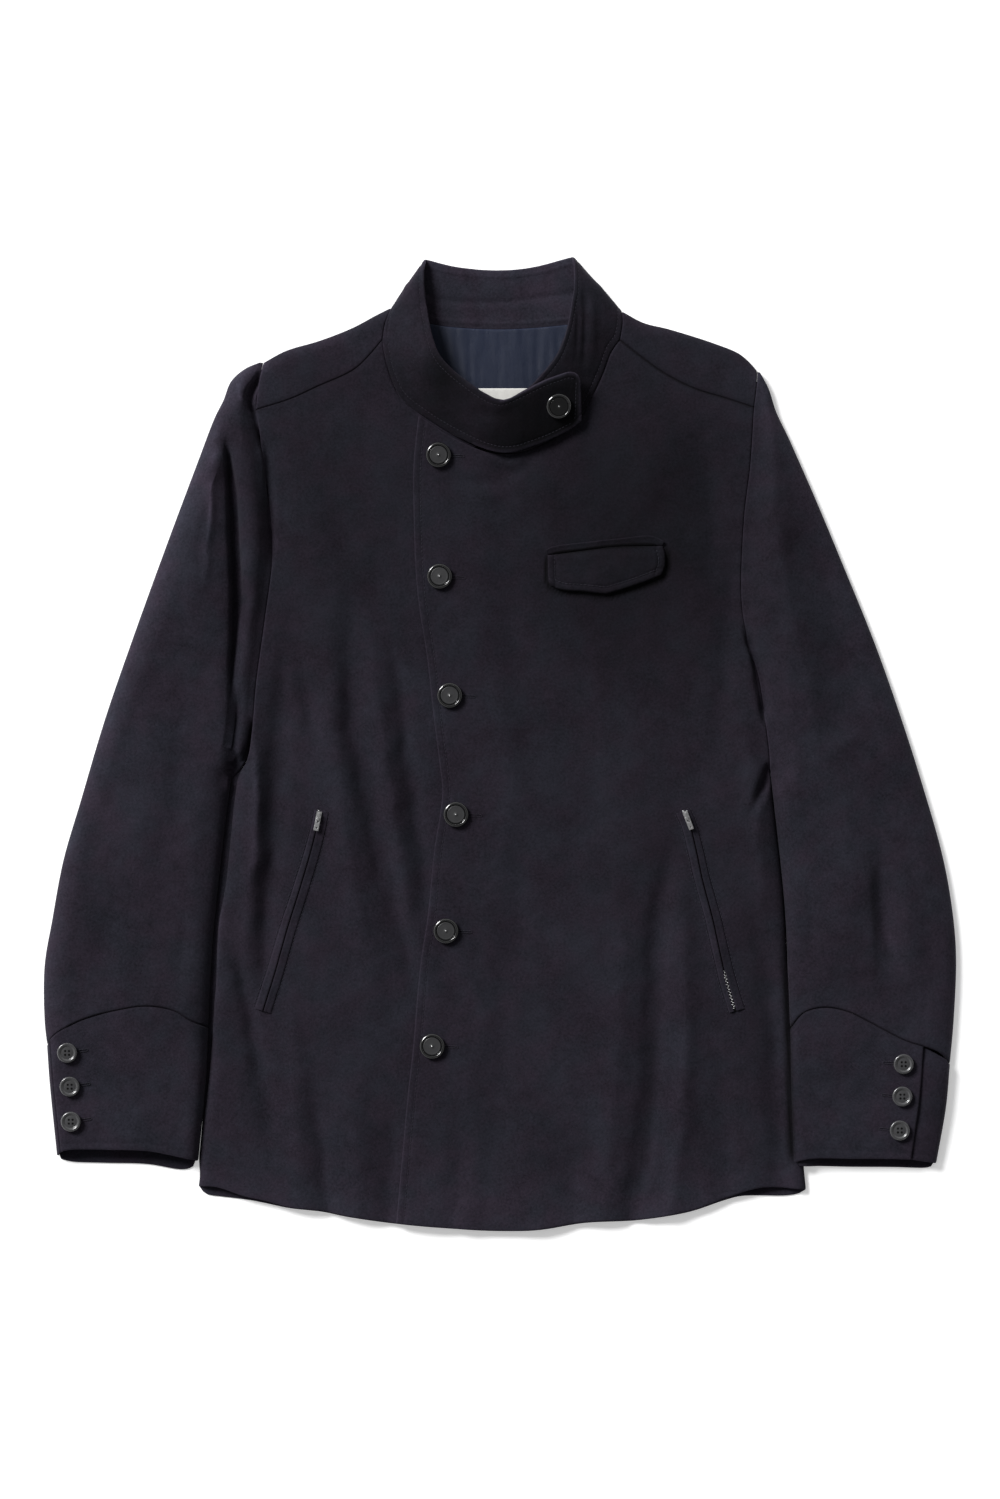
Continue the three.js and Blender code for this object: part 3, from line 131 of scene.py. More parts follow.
# Creases: points along each with x, y, height (down is negative) and half width
BODY_CREASES = [
    [(-125, 126, 0, 8), (-121, 82, -2.6, 9), (-118, 26, -4.2, 8), (-110, -22, -4.6, 8), (-98, -78, -4.2, 8),
     (-84, -134, -3.4, 8), (-73, -178, -2, 7), (-66, -214, 0, 6)],
    [(-175, 98, 0, 7), (-174, 50, -2.6, 7), (-177, -6, -4.2, 7), (-182, -70, -4.8, 7),
     (-186, -118, -4.4, 7), (-188, -166, -2.8, 6), (-186, -198, 0, 5)],
    [(-89, 90, 0, 6), (-82, 42, -2.4, 6), (-74, -14, -3.2, 6), (-64, -78, -3, 6), (-60, -126, -1.4, 6),
     (-58, -158, 0, 6)],
    [(-175, 114, 0, 6), (-163, 74, -1.6, 7), (-154, 26, -1.8, 7), (-150, -14, 0, 6)],
    [(-143, 114, 0, 10), (-137, 50, 2.2, 12), (-129, -22, 3, 12), (-121, -94, 3.2, 12), (-106, -166, 2, 12),
     (-97, -222, 0, 10)],
    [(-103, 82, 0, 7), (-95, 10, 2.4, 8), (-84, -62, 2.8, 8), (-76, -126, 2.2, 8), (-70, -174, 0, 8)],
    [(-199, 42, 0, 8), (-195, -14, 3, 8), (-196, -78, 3.4, 8), (-201, -142, 2.6, 9), (-206, -198, 0, 8)],
    [(-221, -150, 0, 4), (-211, -180, -2.8, 4.5), (-204, -202, -4, 4.6), (-201, -216, -4.4, 4.8),
     (-198, -232, -4.2, 5.2), (-193, -262, -3, 6.4), (-186, -302, -1.6, 7), (-183, -338, 0, 6)],
    [(-22, 231, 0, 2.4), (-9, 228, 0.9, 2.8), (0, 225, 1.1, 2.8), (8, 222.6, 1.1, 2.6), (15, 226, 0.9, 2.6),
     (24, 231, 0, 2.4)],
    [(-25, 222, 0, 3), (-8, 217, -0.9, 3.4), (6, 213.6, -1.2, 3.4), (18, 219, -0.8, 3), (29, 225, 0, 3)],
    [(-169, -194, 0, 8), (-164, -254, 1.6, 10), (-161, -310, 1.8, 10), (-158, -370, 1.4, 10)],
    [(-150, -254, 0, 6), (-146, -302, -1.6, 6), (-140, -354, -2, 6), (-138, -386, -1.6, 6)],
    [(-119, -238, 0, 12), (-116, -302, 1.6, 12), (-113, -386, 1.8, 12)],
    [(-87, -278, 0, 7), (-87, -326, -1.2, 7), (-90, -390, -1.6, 7)],
    [(-161, 250, 0, 16), (-153, 218, -1.2, 16), (-129, 178, -1.4, 14), (-119, 130, 0, 12)],
    [(-169, 194, 0, 14), (-145, 162, 1.2, 14), (-137, 114, 0, 12)],
    [(140, -70, 0, 8), (130, -110, -2.6, 7), (125, -158, -4, 7), (123, -214, -4.4, 7), (120, -270, -4.2, 7),
     (113, -326, -3.8, 7), (103, -386, -3, 8)],
    [(146, -94, 0, 9), (146, -158, 2.2, 9), (148, -230, 2.8, 9), (145, -302, 2.4, 9), (137, -378, 2, 9)],
    [(103, -110, 0, 12), (97, -190, 1.6, 12), (92, -278, 1.8, 12), (82, -382, 1.6, 12)],
    [(-18, 82, 0, 12), (7, 66, -1.6, 13), (38, 38, -2.2, 14), (67, -14, -1.8, 16), (83, -78, 0, 16)],
    [(-25, 42, 0, 16), (-1, 2, 1.8, 18), (23, -46, 1.8, 20), (35, -110, 0, 18)],
    [(151, 258, 0, 14), (161, 226, -2, 13), (169, 178, -2, 13), (166, 114, -1, 12), (159, 74, 0, 12)],
    [(111, 242, 0, 16), (119, 202, 1.4, 16), (123, 178, 0, 14)],
    [(187, 178, 0, 9), (182, 114, -1.8, 9), (177, 42, -1.6, 9), (172, -14, 0, 9)],
    [(195, 34, 0, 8), (201, -30, 2, 8), (207, -94, 2, 8), (210, -158, 0, 8)],
    [(71, 194, 0, 18), (31, 178, -1.2, 18), (-1, 162, 0, 16)],
    [(-41, -170, 0, 6), (-26, -186, 1.4, 6), (-15, -214, 0, 6)],
    [(-39, 214, 0, 4), (-25, 209, -0.9, 4), (-4, 207, -0.8, 4), (11, 210, 0, 4)],
    [(-31, 201, 0, 5), (-9, 198, 0.7, 5), (15, 202, 0, 5)],
    [(-49, 146, 0, 14), (-25, 114, 1.2, 14), (-17, 66, 0, 14)],
    [(15, -254, 0, 22), (23, -318, 1.6, 22), (31, -394, 1.6, 22)],
    [(-25, -278, 0, 10), (-31, -334, -1.4, 10), (-39, -391, -1.8, 10)],
    [(52, -302, 0, 9), (57, -350, -1, 9), (58, -388, -1.4, 9)],
    [(171, -214, 0, 8), (177, -278, -1.6, 9), (180, -358, -1.4, 9)],
    [(201, -126, 0, 8), (214, -190, -2.4, 8), (220, -262, -3, 8), (223, -334, -2.6, 8), (226, -362, -2, 8)],
]
SLEEVE_CREASES = {
    "left": [
        [(-218, 262, 0, 5), (-217, 220, -3, 6), (-213, 170, -3.6, 7), (-211, 110, -3.6, 7),
         (-213, 40, -3, 6), (-214, -20, -1, 5)],
        [(-225.6, 256, 0, 3), (-228, 240, 1.6, 3.4), (-230.4, 210, 1.8, 3.6), (-232.4, 178, 1.6, 3.8),
         (-234.5, 142, 1.2, 4), (-238, 120, 0, 5)],
        [(-232, 250, 0, 8), (-238, 200, 1.6, 12), (-244, 140, 1.6, 14), (-250, 70, 0, 14)],
        [(-199, 242, 0, 6), (-198, 194, 1.6, 7), (-198, 146, 1.8, 7), (-201, 98, 1.2, 6), (-205, 50, 0, 6)],
        [(-273, 34, 0, 20), (-281, -30, 1.6, 22), (-289, -94, 1.6, 22), (-295, -150, 0, 20)],
        [(-306, -110, 0, 14), (-314, -150, -1.4, 14), (-321, -190, 0, 14)],
        [(-252, 82, 0, 14), (-255, 18, -1.2, 14), (-260, -46, -1.2, 14), (-266, -110, 0, 14)],
        [(-249, -126, 0, 9), (-254, -166, -1.4, 9), (-257, -206, 0, 9)],
        [(-324, -22, 0, 9), (-327, -70, -1.2, 9), (-334, -118, 0, 9)],
        [(-230, -46, 0, 7), (-236, -94, -1.4, 7), (-239, -150, 0, 7)],
    ],
    "right": [
        [(228, 234, 0, 14), (244, 178, -2, 16), (265, 114, -3.2, 17), (279, 58, -2.8, 16),
         (289, 18, 0, 14)],
        [(215, 218, 0, 10), (225, 146, 2.4, 11), (239, 74, 2.6, 12), (252, 10, 1.6, 12), (258, -46, 0, 12)],
        [(287, 6, 0, 10), (276, -2, 1.6, 12), (260, -7, 1.4, 12), (244, -2, 0, 10)],
        [(271, -14, 0, 18), (279, -78, 2.2, 20), (281, -150, 1.8, 20), (279, -206, 0, 18)],
        [(300, -78, 0, 7), (303, -110, -2.4, 7), (306, -150, -2.6, 7), (308, -182, 0, 7)],
        [(321, -86, 0, 10), (326, -142, 1.8, 10), (326, -198, 0, 10)],
        [(244, -110, 0, 8), (246, -150, -1.8, 8), (249, -194, 0, 8)],
        [(198, 146, 0, 7), (205, 82, 2.2, 7), (214, 34, 2, 7), (220, -22, 0, 7)],
        [(343, -126, 0, 7), (346, -174, -1.2, 7), (345, -214, 0, 7)],
        [(210, 278, 0, 6), (215, 250, 1.6, 6), (217, 210, 0, 6)],
    ],
}
SLEEVE_DEEP = {
    "left": [
        [(-222, 246, 0, 1.6), (-218.5, 234, -3, 2.4), (-216.5, 220, -6, 3.2), (-214.5, 204, -10, 3.8),
         (-213.5, 186, -10, 4.2), (-212.8, 162, -10, 4.2), (-211.2, 138, -10, 4.2), (-210.6, 114, -10, 4.4),
         (-211.2, 84, -10, 4), (-213, 72, -9.6, 3.2), (-213.6, 50, -9.6, 2.9), (-214, 20, -9.6, 2.8),
         (-214, -10, -9, 3), (-213.4, -24, -8, 3.4), (-213.6, -32, -5, 3), (-215.6, -40, 0, 2)],
        [(-199.2, 22, 0, 1.2), (-199.6, 8, -5, 2), (-200.5, -4, -7, 3), (-204, -11.5, -8, 3.2),
         (-208.8, -16, -8, 3), (-213, -22, -7, 3), (-214, -32, -5, 2.4), (-215, -40, 0, 2)],
        [(-192.4, 299, 0, 1.6), (-193.6, 294, -2.4, 2), (-195.4, 289, -5, 2.6), (-200, 281, -6, 3.6),
         (-201.4, 273, -6, 3.4), (-198.6, 264, -5, 2.4), (-195, 252, -4, 2.2), (-192, 242, -2.4, 2.4),
         (-189, 232, 0, 2.4)],
    ],
    "right": [
        [(193, 96, 0, 1.4), (198.5, 82, -4, 2), (203, 70, -7, 2.4), (206.4, 58, -8, 2.6),
         (208.6, 44, -8, 2.6), (210.4, 30, -6, 2.2), (212, 16, 0, 1.6)],
    ],
}
BODY_DEEP = [
    [(192.8, 95, 0, 1.4), (196.8, 83, -3, 2), (200.8, 73, -4.6, 2.6), (204.4, 61, -5, 3),
     (205.6, 50, -5, 3.2), (207.4, 38, -5, 2.6), (209.2, 26, -4.6, 2.2), (211, 13, 0, 1.6)],
    [(213.6, -14, 0, 1.8), (212.6, -24, -4.6, 2.8), (209.8, -33, -5, 3.6), (206, -42, -4.2, 3.6),
     (202.2, -52, -2, 3), (199, -61, 0, 2.4)],
]
ARMHOLE_DEEP = [
    [(-194.4, 256, 0, 2), (-191, 243, -2, 2.6), (-187.4, 234, -3.8, 3.2), (-185.8, 226, -4.4, 3.6),
     (-185, 210, -4.6, 3.8), (-184.6, 194, -4.6, 3.8), (-184.2, 178, -4.4, 3.6), (-183.8, 162, -3.6, 3.2),
     (-183.6, 150, -2.2, 2.8), (-184.4, 136, 0, 2.4)],
]
ARMHOLE_SOFT = [
    [(-184, 246, 0, 5), (-178, 222, -1.4, 6), (-176, 190, -1.6, 6.5), (-176, 160, -1, 6),
     (-177, 134, 0, 5)],
    [(-199, 6, 0, 3.6), (-196.8, -12, 1.6, 3.6), (-195.4, -32, 2, 3.6), (-194.8, -50, 2, 3.8),
     (-195.6, -70, 1.6, 4), (-198, -94, 1, 4), (-201, -112, 0, 4)],
]
COLLAR_CREASES = [
    [(-68, 296, 0, 6), (-51, 286.4, -1.9, 6.4), (-36.8, 276, -2.1, 6.4), (-20.8, 264.8, -2, 6),
     (-0.8, 260, -1.4, 6), (15.2, 268, 0, 6)],
    [(-60, 279, 0, 4), (-48, 268, 1.0, 4), (-32, 257.5, 1.2, 4), (-16.8, 249, 1.0, 4), (0, 245, 0, 4)],
    [(65, 370, 0, 2.4), (67, 352, -1.4, 2.6), (67.2, 338, -1.6, 2.6), (66.4, 314, -1.4, 2.6),
     (65.6, 297, 0, 2.4)],
    [(61, 358, 0, 2), (61.4, 345, -1.2, 2), (60.8, 322, -1.3, 2), (59.2, 300, 0, 2)],
    [(73, 362, 0, 3), (72.8, 350, 0.9, 3.2), (73.6, 322, 0.9, 3.2), (73, 300, 0, 3)],
]

# Patches of nap brushed flat and raised, and of painted light and shade (the darker chest, lighter sleeves,
# the collar wall's shadow on the lining): centre, half sizes, change of brightness
NAP_AND_PAINTED_LIGHT_PATCHES = [
    (107, 168, 100, 135, -0.58),
    (-121, 178, 66, 120, -0.26),
    (-120, 322, 70, 16, 0.3),
    (-205, 290, 26, 22, 0.3),
    (-66, 318, 14, 34, 0.3),
    (-46, 312, 16, 50, -0.4),
    (199, -206, 30, 160, -0.2),
    (119, -94, 50, 96, -0.16),
    (-285, 34, 62, 250, 0.16),
    (-236, 226, 20, 60, 0.25),
    (-320, -290, 90, 60, 0.2),
    (290, -290, 90, 60, 0.12),
    (-225, 300, 40, 30, 0.3),
]
ZIP = {
    "left": [(-145, -54), (-146.5, -64), (-152, -87), (-161, -117.5), (-171, -149.5), (-180, -181.5),
             (-186, -201), (-190, -214)],
    "right": [(146, -54), (150.5, -64), (156, -86), (161, -109.5), (169, -140), (174, -163), (180, -189.5),
              (187, -214)],
}
SEAM_SHADE = ("yokeLeft", "yokeRight", "cuffSeamLeft", "cuffSeamRight")
# Painted shade under the chest pocket's welt and round its flap, beside the right cuff, along a body fold and
# a sleeve fold, and in the zip pockets' slits
SHADE_LINES = [
    [(38, 150.6, 0, 1.3), (44, 151.6, -0.85, 1.3), (63, 153.8, -0.85, 1.3), (87, 156.8, -0.85, 1.3),
     (119, 158.2, -0.85, 1.3), (125, 158, 0, 1.3)],
    [(36.6, 153, 0, 1.3), (36.2, 147, -0.6, 1.3), (36.2, 134, -0.7, 1.3), (36.6, 126.5, -0.85, 1.6),
     (47.5, 121.2, -0.9, 2), (66, 119.5, -0.9, 2), (84, 117.4, -0.9, 2.2), (104.5, 123.3, -0.9, 2.2),
     (129, 132.2, -0.9, 2.2), (132.8, 140.5, -0.9, 2.2), (132.8, 150, -0.8, 2), (131, 158, 0, 1.6)],
    [(225, -150, 0, 2), (227, -190, -0.7, 2.4), (229, -230, -0.9, 2.8), (230.4, -280, -0.9, 3),
     (232, -328, -0.9, 3), (233, -338, 0, 3)],
    [(126, -190, 0, 4), (122, -225, -0.2, 4), (119.5, -280, -0.32, 4.4), (113, -335, -0.32, 4.4),
     (103, -384, -0.1, 4)],
    [(294, -84, 0, 2.4), (297, -122, -0.34, 2.6), (299, -165, -0.34, 2.6), (297, -200, 0, 2.4)],
]
SHADE_LINES += [[(x, y, -0.8, 0.8) for x, y in points] for points in ZIP.values()]
# Painted highlights along fold ridges where they catch the light: points with x, y, change, half width
HIGHLIGHT_LINES = [
    [(-225.6, 256, 0, 1.6), (-228.6, 236, 0.9, 1.6), (-230.6, 206, 1.0, 1.6), (-232.6, 174, 0.7, 1.8),
     (-236, 130, 0, 2)],
    [(-204.6, 310, 0, 1.4), (-209, 280, 0.5, 1.4), (-203.5, 268, 0.6, 1.6), (-197, 256, 0.6, 1.6),
     (-193, 246, 0, 1.6)],
    [(-197.5, 0, 0, 1.6), (-195.6, -30, 0.5, 1.6), (-195, -60, 0.5, 1.8), (-198, -95, 0.3, 2),
     (-201, -112, 0, 2)],
    [(-218, -100, 0, 1.4), (-225, -140, 0.5, 1.6), (-227, -176, 0.5, 1.6), (-229, -206, 0.3, 1.6),
     (-231, -236, 0, 1.6)],
]
BACK_CREASES = [
    [(-150, 180, 0, 10), (-120, 90, 0.9, 11), (-105, -20, 1.1, 12), (-112, -130, 0, 11)],
    [(120, 150, 0, 12), (96, 60, 1.0, 12), (104, -60, 0.8, 13), (118, -190, 0, 12)],
    [(-60, -120, 0, 14), (-48, -220, 0.9, 14), (-56, -330, 0.7, 13)],
    [(60, 230, 0, 14), (30, 160, 0.7, 14), (34, 60, 0, 14)],
    [(160, -160, 0, 9), (172, -250, 0.9, 9), (176, -340, 0.6, 9)],
    [(-190, -60, 0, 8), (-196, -170, 0.9, 8), (-190, -280, 0, 8)],
]
FOLD_DEPTH = 3.9
SLEEVE_FOLD_DEPTH = 9.5
RELIEF = 1.35
CURVE_SAMPLES = 25
CREASE_STEP = 6.0
# A crease is worked out up to this many half widths from it
CREASE_REACH = 3.2
# Swells as (height, size, seed), and ripples along sewn lines as (height, wave, reach, seed)
WANDER_X = [(1.6, 46, 1), (0.5, 17, 2)]
WANDER_Y = [(1.6, 46, 3)]
CLOTH_SWELLS = [(0.42, 85, 5), (0.16, 24, 6)]
BACK_SWELL = (0.25, 60, 9)
CUFF_SWELLS = [(0.5, 55, 20), (0.2, 19, 21)]
SLEEVE_UNEVENNESS = 1.4
PUCKERS = {
    "armLeft": (0.25, 19, 14, 1),
    "armRight": (0.3, 17, 14, 2),
    "placket": (0.22, 12, 9, 3),
    "sleeve": (0.5, 18, 12, 4),
}

# Plane curves

def smooth(points, step=2.0):
    """Centripetal curve through the points, sampled evenly; further columns follow along."""
    given = np.asarray(points, float)
    ends = (2 * given[0] - given[1], 2 * given[-1] - given[-2])
    padded = np.vstack([ends[0], given, ends[1]])
    pieces = []
    for i in range(1, len(padded) - 2):
        four = padded[i - 1:i + 3]
        gaps = np.sqrt(np.linalg.norm(np.diff(four[:, :2], axis=0), axis=1))
        knots = np.concatenate([[0], np.cumsum(gaps)])
        t = np.linspace(knots[1], knots[2], CURVE_SAMPLES)[:-1, None]
        a = [four[k] + (t - knots[k]) / (knots[k + 1] - knots[k]) * (four[k + 1] - four[k]) for k in range(3)]
        b = [a[k] + (t - knots[k]) / (knots[k + 2] - knots[k]) * (a[k + 1] - a[k]) for k in range(2)]
        pieces.append(b[0] + (t - knots[1]) / (knots[2] - knots[1]) * (b[1] - b[0]))
    dense = np.vstack([*pieces, given[-1]])
    count = max(8, math.ceil(lengths(dense)[-1] / step))
    return pick(dense, np.linspace(0, 1, count + 1))


def lengths(line):
    """Distance run at each point of a line, in plan."""
    return np.concatenate([[0], np.cumsum(np.linalg.norm(np.diff(line[:, :2], axis=0), axis=1))])


def interpolated(wanted, run, values):
    """Values at the wanted distances, each column on its own."""
    return np.stack([np.interp(wanted, run, column) for column in values.T], axis=-1)


def pick(line, fractions):
    """Points of a line at fractions of its length."""
    run = lengths(line)
    return interpolated(np.asarray(fractions) * run[-1], run, line)


def join(*lines):
    return np.vstack([lines[0], *[line[1:] for line in lines[1:]]])


def moved(line, distance):
    """The line moved to its own left, by one distance or by one for each point."""
    along = np.gradient(line[:, :2], axis=0)
    along /= np.linalg.norm(along, axis=1)[:, None]
    return line + np.stack([-along[:, 1], along[:, 0]], axis=1) * np.reshape(distance, (-1, 1))


def fitted(line, start, end):
    """The line shifted so that it runs from start to end."""
    run = (lengths(line) / lengths(line)[-1])[:, None]
    return line + (1 - run) * (np.asarray(start) - line[0]) + run * (np.asarray(end) - line[-1])


def near(line, x, y):
    """Distance of each point to the line, and how far along the line that is."""
    best = np.full(np.shape(x), np.inf)
    where = np.zeros(np.shape(x))
    run = lengths(line)
    for k in range(len(line) - 1):
        ax, ay = line[k, :2]
        bx, by = line[k + 1, :2]
        long = (bx - ax) ** 2 + (by - ay) ** 2
        t = np.clip(((x - ax) * (bx - ax) + (y - ay) * (by - ay)) / long, 0, 1)
        gap = (x - ax - t * (bx - ax)) ** 2 + (y - ay - t * (by - ay)) ** 2
        closer = gap < best
        best = np.where(closer, gap, best)
        where = np.where(closer, run[k] + t * (run[k + 1] - run[k]), where)
    return np.sqrt(best), where


def distance(line, x, y):
    return near(line, x, y)[0]


def x_at(line, y):
    """x of an upright line at height y."""
    order = np.argsort(line[:, 1])
    return np.interp(y, line[order, 1], line[order, 0])


CURVE = {name: smooth(points) for name, points in LINE.items()}


# Heights

def smoothstep(x, low, high):
    t = np.clip((x - low) / (high - low), 0, 1)
    return t * t * (3 - 2 * t)


def roll(gap, width):
    """Height of a quarter-round edge, 0 at the edge and 1 from `width` inwards."""
    t = 1 - np.minimum(gap, width) / width
    return np.sqrt(np.maximum(0, 1 - t * t))


def waves(x, y, size, seed, count=10):
    """Uneven swells of about the given size, mostly between -1 and 1."""
    chance = np.random.default_rng(SEED + seed)
    total = 0
    for _ in range(count):
        turn = chance.uniform(0, 2 * math.pi)
        long = size * chance.uniform(0.7, 1.6)
        phase = chance.uniform(0, 2 * math.pi)
        total = total + np.sin((x * math.cos(turn) + y * math.sin(turn)) * 2 * math.pi / long + phase)
    return total / math.sqrt(2 * count)


def swells(x, y, parts):
    """Sum of uneven swells, each given as its height, size and seed."""
    return sum(height * waves(x, y, size, seed) for height, size, seed in parts)


def crease_height(creases, x, y, power=1.7, wander=1.0):
    """Sum of the creases, each a soft trough or ridge that fades at its ends and wanders a little."""
    wx = x + wander * swells(x, y, WANDER_X) if wander else x
    wy = y + wander * swells(x, y, WANDER_Y) if wander else y
    total = np.zeros(np.shape(x))
    for line in creases:
        reach = CREASE_REACH * line[:, 3].max()
        low, high = line[:, :2].min(axis=0) - reach, line[:, :2].max(axis=0) + reach
        inside = (wx > low[0]) & (wx < high[0]) & (wy > low[1]) & (wy < high[1])
        if not inside.any():
            continue
        gap, along = near(line, wx[inside], wy[inside])
        run = lengths(line)
        height = np.interp(along, run, line[:, 2])
        width = np.interp(along, run, line[:, 3])
        total[inside] += height * np.exp(-np.abs(gap / width) ** power)
    return total


def bounded(height, depth):
    """Folds no deeper than `depth`."""
    return np.where(height < 0, -depth * np.tanh(-height / depth), height)


def crease_lines(table):
    return [smooth(points, CREASE_STEP) for points in table]


BODY_LINES = crease_lines(BODY_CREASES)
SLEEVE_LINES = {side: crease_lines(table) for side, table in SLEEVE_CREASES.items()}
SLEEVE_DEEP_LINES = {side: crease_lines(table) for side, table in SLEEVE_DEEP.items()}
BODY_DEEP_LINES = crease_lines(BODY_DEEP)
ARMHOLE_LINES = crease_lines(ARMHOLE_DEEP)
ARMHOLE_SOFT_LINES = crease_lines(ARMHOLE_SOFT)
COLLAR_LINES = crease_lines(COLLAR_CREASES)
LIGHT_AND_SHADE_CURVES = crease_lines(HIGHLIGHT_LINES + SHADE_LINES)
BACK_LINES = crease_lines(BACK_CREASES)
DEEP_POWER = 3.2
BODY_EDGES = [CURVE[name] for name in ("sideFront", "sideRight", "shoulderLeft", "shoulderRight")]
DEEP_LEVEL = 3.2


def pucker(key, line, x, y):
    """Small ripples that cross a sewn line and die away from it."""
    height, wave, reach, seed = PUCKERS[key]
    gap, along = near(line, x, y)
    ripple = np.sin(along * 2 * math.pi / wave + 1.7 * np.sin(along / (wave * 1.9) + seed))
    strength = 0.55 + 0.45 * np.sin(along / (wave * 3.1) + 2.3 * seed)
    return height * (ripple * strength * np.exp(-(gap / reach) ** 2))


def arm_line(side):
    name = side.capitalize()
    return join(CURVE["armFront" + name], CURVE["armYoke" + name])


def unevenness(x, y):
    return swells(x, y, CLOTH_SWELLS)


def body_plain(x, y):
    """Outer face of the fronts without the deep folds at the armholes."""
    gap = np.minimum.reduce([distance(line, x, y) for line in BODY_EDGES])
    rise = roll(gap, BODY_ROLL)
    folds = RELIEF * crease_height(BODY_LINES, x, y) + unevenness(x, y)
    folds += crease_height(ARMHOLE_SOFT_LINES, x, y, 1.8, wander=0)
    folds += pucker("armLeft", arm_line("left"), x, y) + pucker("armRight", arm_line("right"), x, y)
    return UNDER_LEVEL + rise * (BODY_HEIGHT - UNDER_LEVEL + bounded(folds, FOLD_DEPTH) * rise)


def body_top(x, y):
    plain = body_plain(x, y)
    deep = crease_height(BODY_DEEP_LINES + ARMHOLE_LINES, x, y, DEEP_POWER, wander=0)
    return np.maximum(plain + deep, np.minimum(plain, DEEP_LEVEL))


def over_top(x, y):
    hidden = x_at(CURVE["placket"], y) + PLACKET_OVERLAP
    lift = OVERLAP_LAYER * (1 - smoothstep(x - hidden - 3, 0, OVERLAP_FADE))
    return body_top(x, y) + lift + pucker("placket", CURVE["placket"], x, y)


def right_base(x, y):
    along = smoothstep(-y, -LIFT_RANGE[0], -LIFT_RANGE[1])
    outside = x - x_at(CURVE["sideRight"], y)
    return SLEEVE_OVER_BODY * along * (1 - smoothstep(outside, 0, SLEEVE_LIFT_WIDTH))


def flat_base(x, y):
    return np.zeros(np.shape(x))


BASE = {"left": flat_base, "right": right_base}


def sleeve_top(side):
    name = side.capitalize()
    out, inner, arm = CURVE["out" + name], CURVE["inner" + name], arm_line(side)

    def height(x, y):
        floor = BASE[side](x, y) + UNDER_LEVEL
        rise = roll(distance(out, x, y), SLEEVE_ROLL) * roll(distance(inner, x, y), SLEEVE_ROLL)
        folds = RELIEF * crease_height(SLEEVE_LINES[side], x, y) + SLEEVE_UNEVENNESS * unevenness(x, y)
        folds += pucker("sleeve", arm, x, y)
        deep = crease_height(SLEEVE_DEEP_LINES[side] + ARMHOLE_LINES, x, y, DEEP_POWER, wander=0)
        own = floor + rise * (SLEEVE_HEIGHT - floor + bounded(folds, SLEEVE_FOLD_DEPTH) * rise)
        weight = 1 - smoothstep(distance(arm, x, y), 0, SEAM_BLEND[side])
        blended = own + weight * (np.minimum(body_plain(x, y), own + BODY_HEIGHT) - own)
        low = floor + rise * (DEEP_LEVEL - floor)
        return np.maximum(blended + deep * np.maximum(rise, weight), np.minimum(blended, low))

    return height


# Grids of cloth

def turned(width):
    """Distances from an edge at which its rounding is sampled."""
    return width * np.array([0, 0.06, 0.2, 0.42, 0.7, 1.0])


def rolled(width):
    """Distances from an edge at which a quarter-round is sampled."""
    return width * (1 - np.cos(np.radians([0, 10, 20, 31, 43, 56, 72, 90])))


def stitched(width, offset):
    """The same as a turned edge, with a row of stitches inside it."""
    return np.concatenate([turned(width), offset + np.array([-1.6, -0.8, 0, 0.8, 1.6])])


def shares(totals, start, end, spacing, knot=None):
    """For each length, equally many fractions: set distances at both ends, even ones between."""
    totals = np.asarray(totals, float)
    middle = max(4, round((totals.max() - start[-1] - end[-1]) / spacing))
    rows = []
    for total in totals:
        scale = min(1, 0.7 * total / (start[-1] + end[-1] + 1e-9)) / total
        first, last = start * scale, 1 - end[::-1] * scale
        if knot is None:
            between = np.linspace(first[-1], last[0], middle + 1)[1:-1]
        else:
            before = max(1, round(middle * (knot - first[-1]) / (last[0] - first[-1])))
            between = np.concatenate([
                np.linspace(first[-1], knot, before + 1)[1:],
                np.linspace(knot, last[0], max(2, middle - before) + 1)[1:-1],
            ])
        rows.append(np.concatenate([first, between, last]))
    count = min(len(row) for row in rows)
    even = np.linspace(0, 1, count)
    return np.array([
        row if len(row) == count else pick(np.stack([row, row], 1), even)[:, 0]
        for row in rows
    ])


def patch(bottom, top, left, right, u, v):
    """Plane points at shares u and v inside four edges."""
    uu, vv = u[..., None], v[..., None]
    b, t, l, r = (pick(line, share) for line, share in ((bottom, u), (top, u), (left, v), (right, v)))
    corners = ((1 - uu) * (1 - vv) * bottom[0] + uu * (1 - vv) * bottom[-1]
               + (1 - uu) * vv * top[0] + uu * vv * top[-1])
    return (1 - vv) * b + vv * t + (1 - uu) * l + uu * r - corners


def coons(bottom, top, left, right, ends, spacing, knot=None):
    """Plane grid inside four edges. bottom and top run left to right, left and right run upwards.
    ends gives the sampling distances at left, right, bottom and top."""
    guess_rows = max(lengths(left)[-1], lengths(right)[-1])
    v_row = shares([guess_rows], ends["bottom"], ends["top"], spacing)[0]
    widths = np.maximum(np.linalg.norm(pick(left, v_row) - pick(right, v_row), axis=1), 1.0)
    u = shares(widths, ends["left"], ends["right"], spacing, knot)
    u_mid = u[len(u) // 2]
    heights = np.maximum(np.linalg.norm(pick(bottom, u_mid) - pick(top, u_mid), axis=1), 1.0)
    v = shares(np.append(heights, guess_rows), ends["bottom"], ends["top"], spacing)[:-1].T
    if len(v) != len(u):
        v = interpolated(np.linspace(0, 1, len(u)), np.linspace(0, 1, len(v)), v)
    return patch(bottom, top, left, right, u, v), u, v


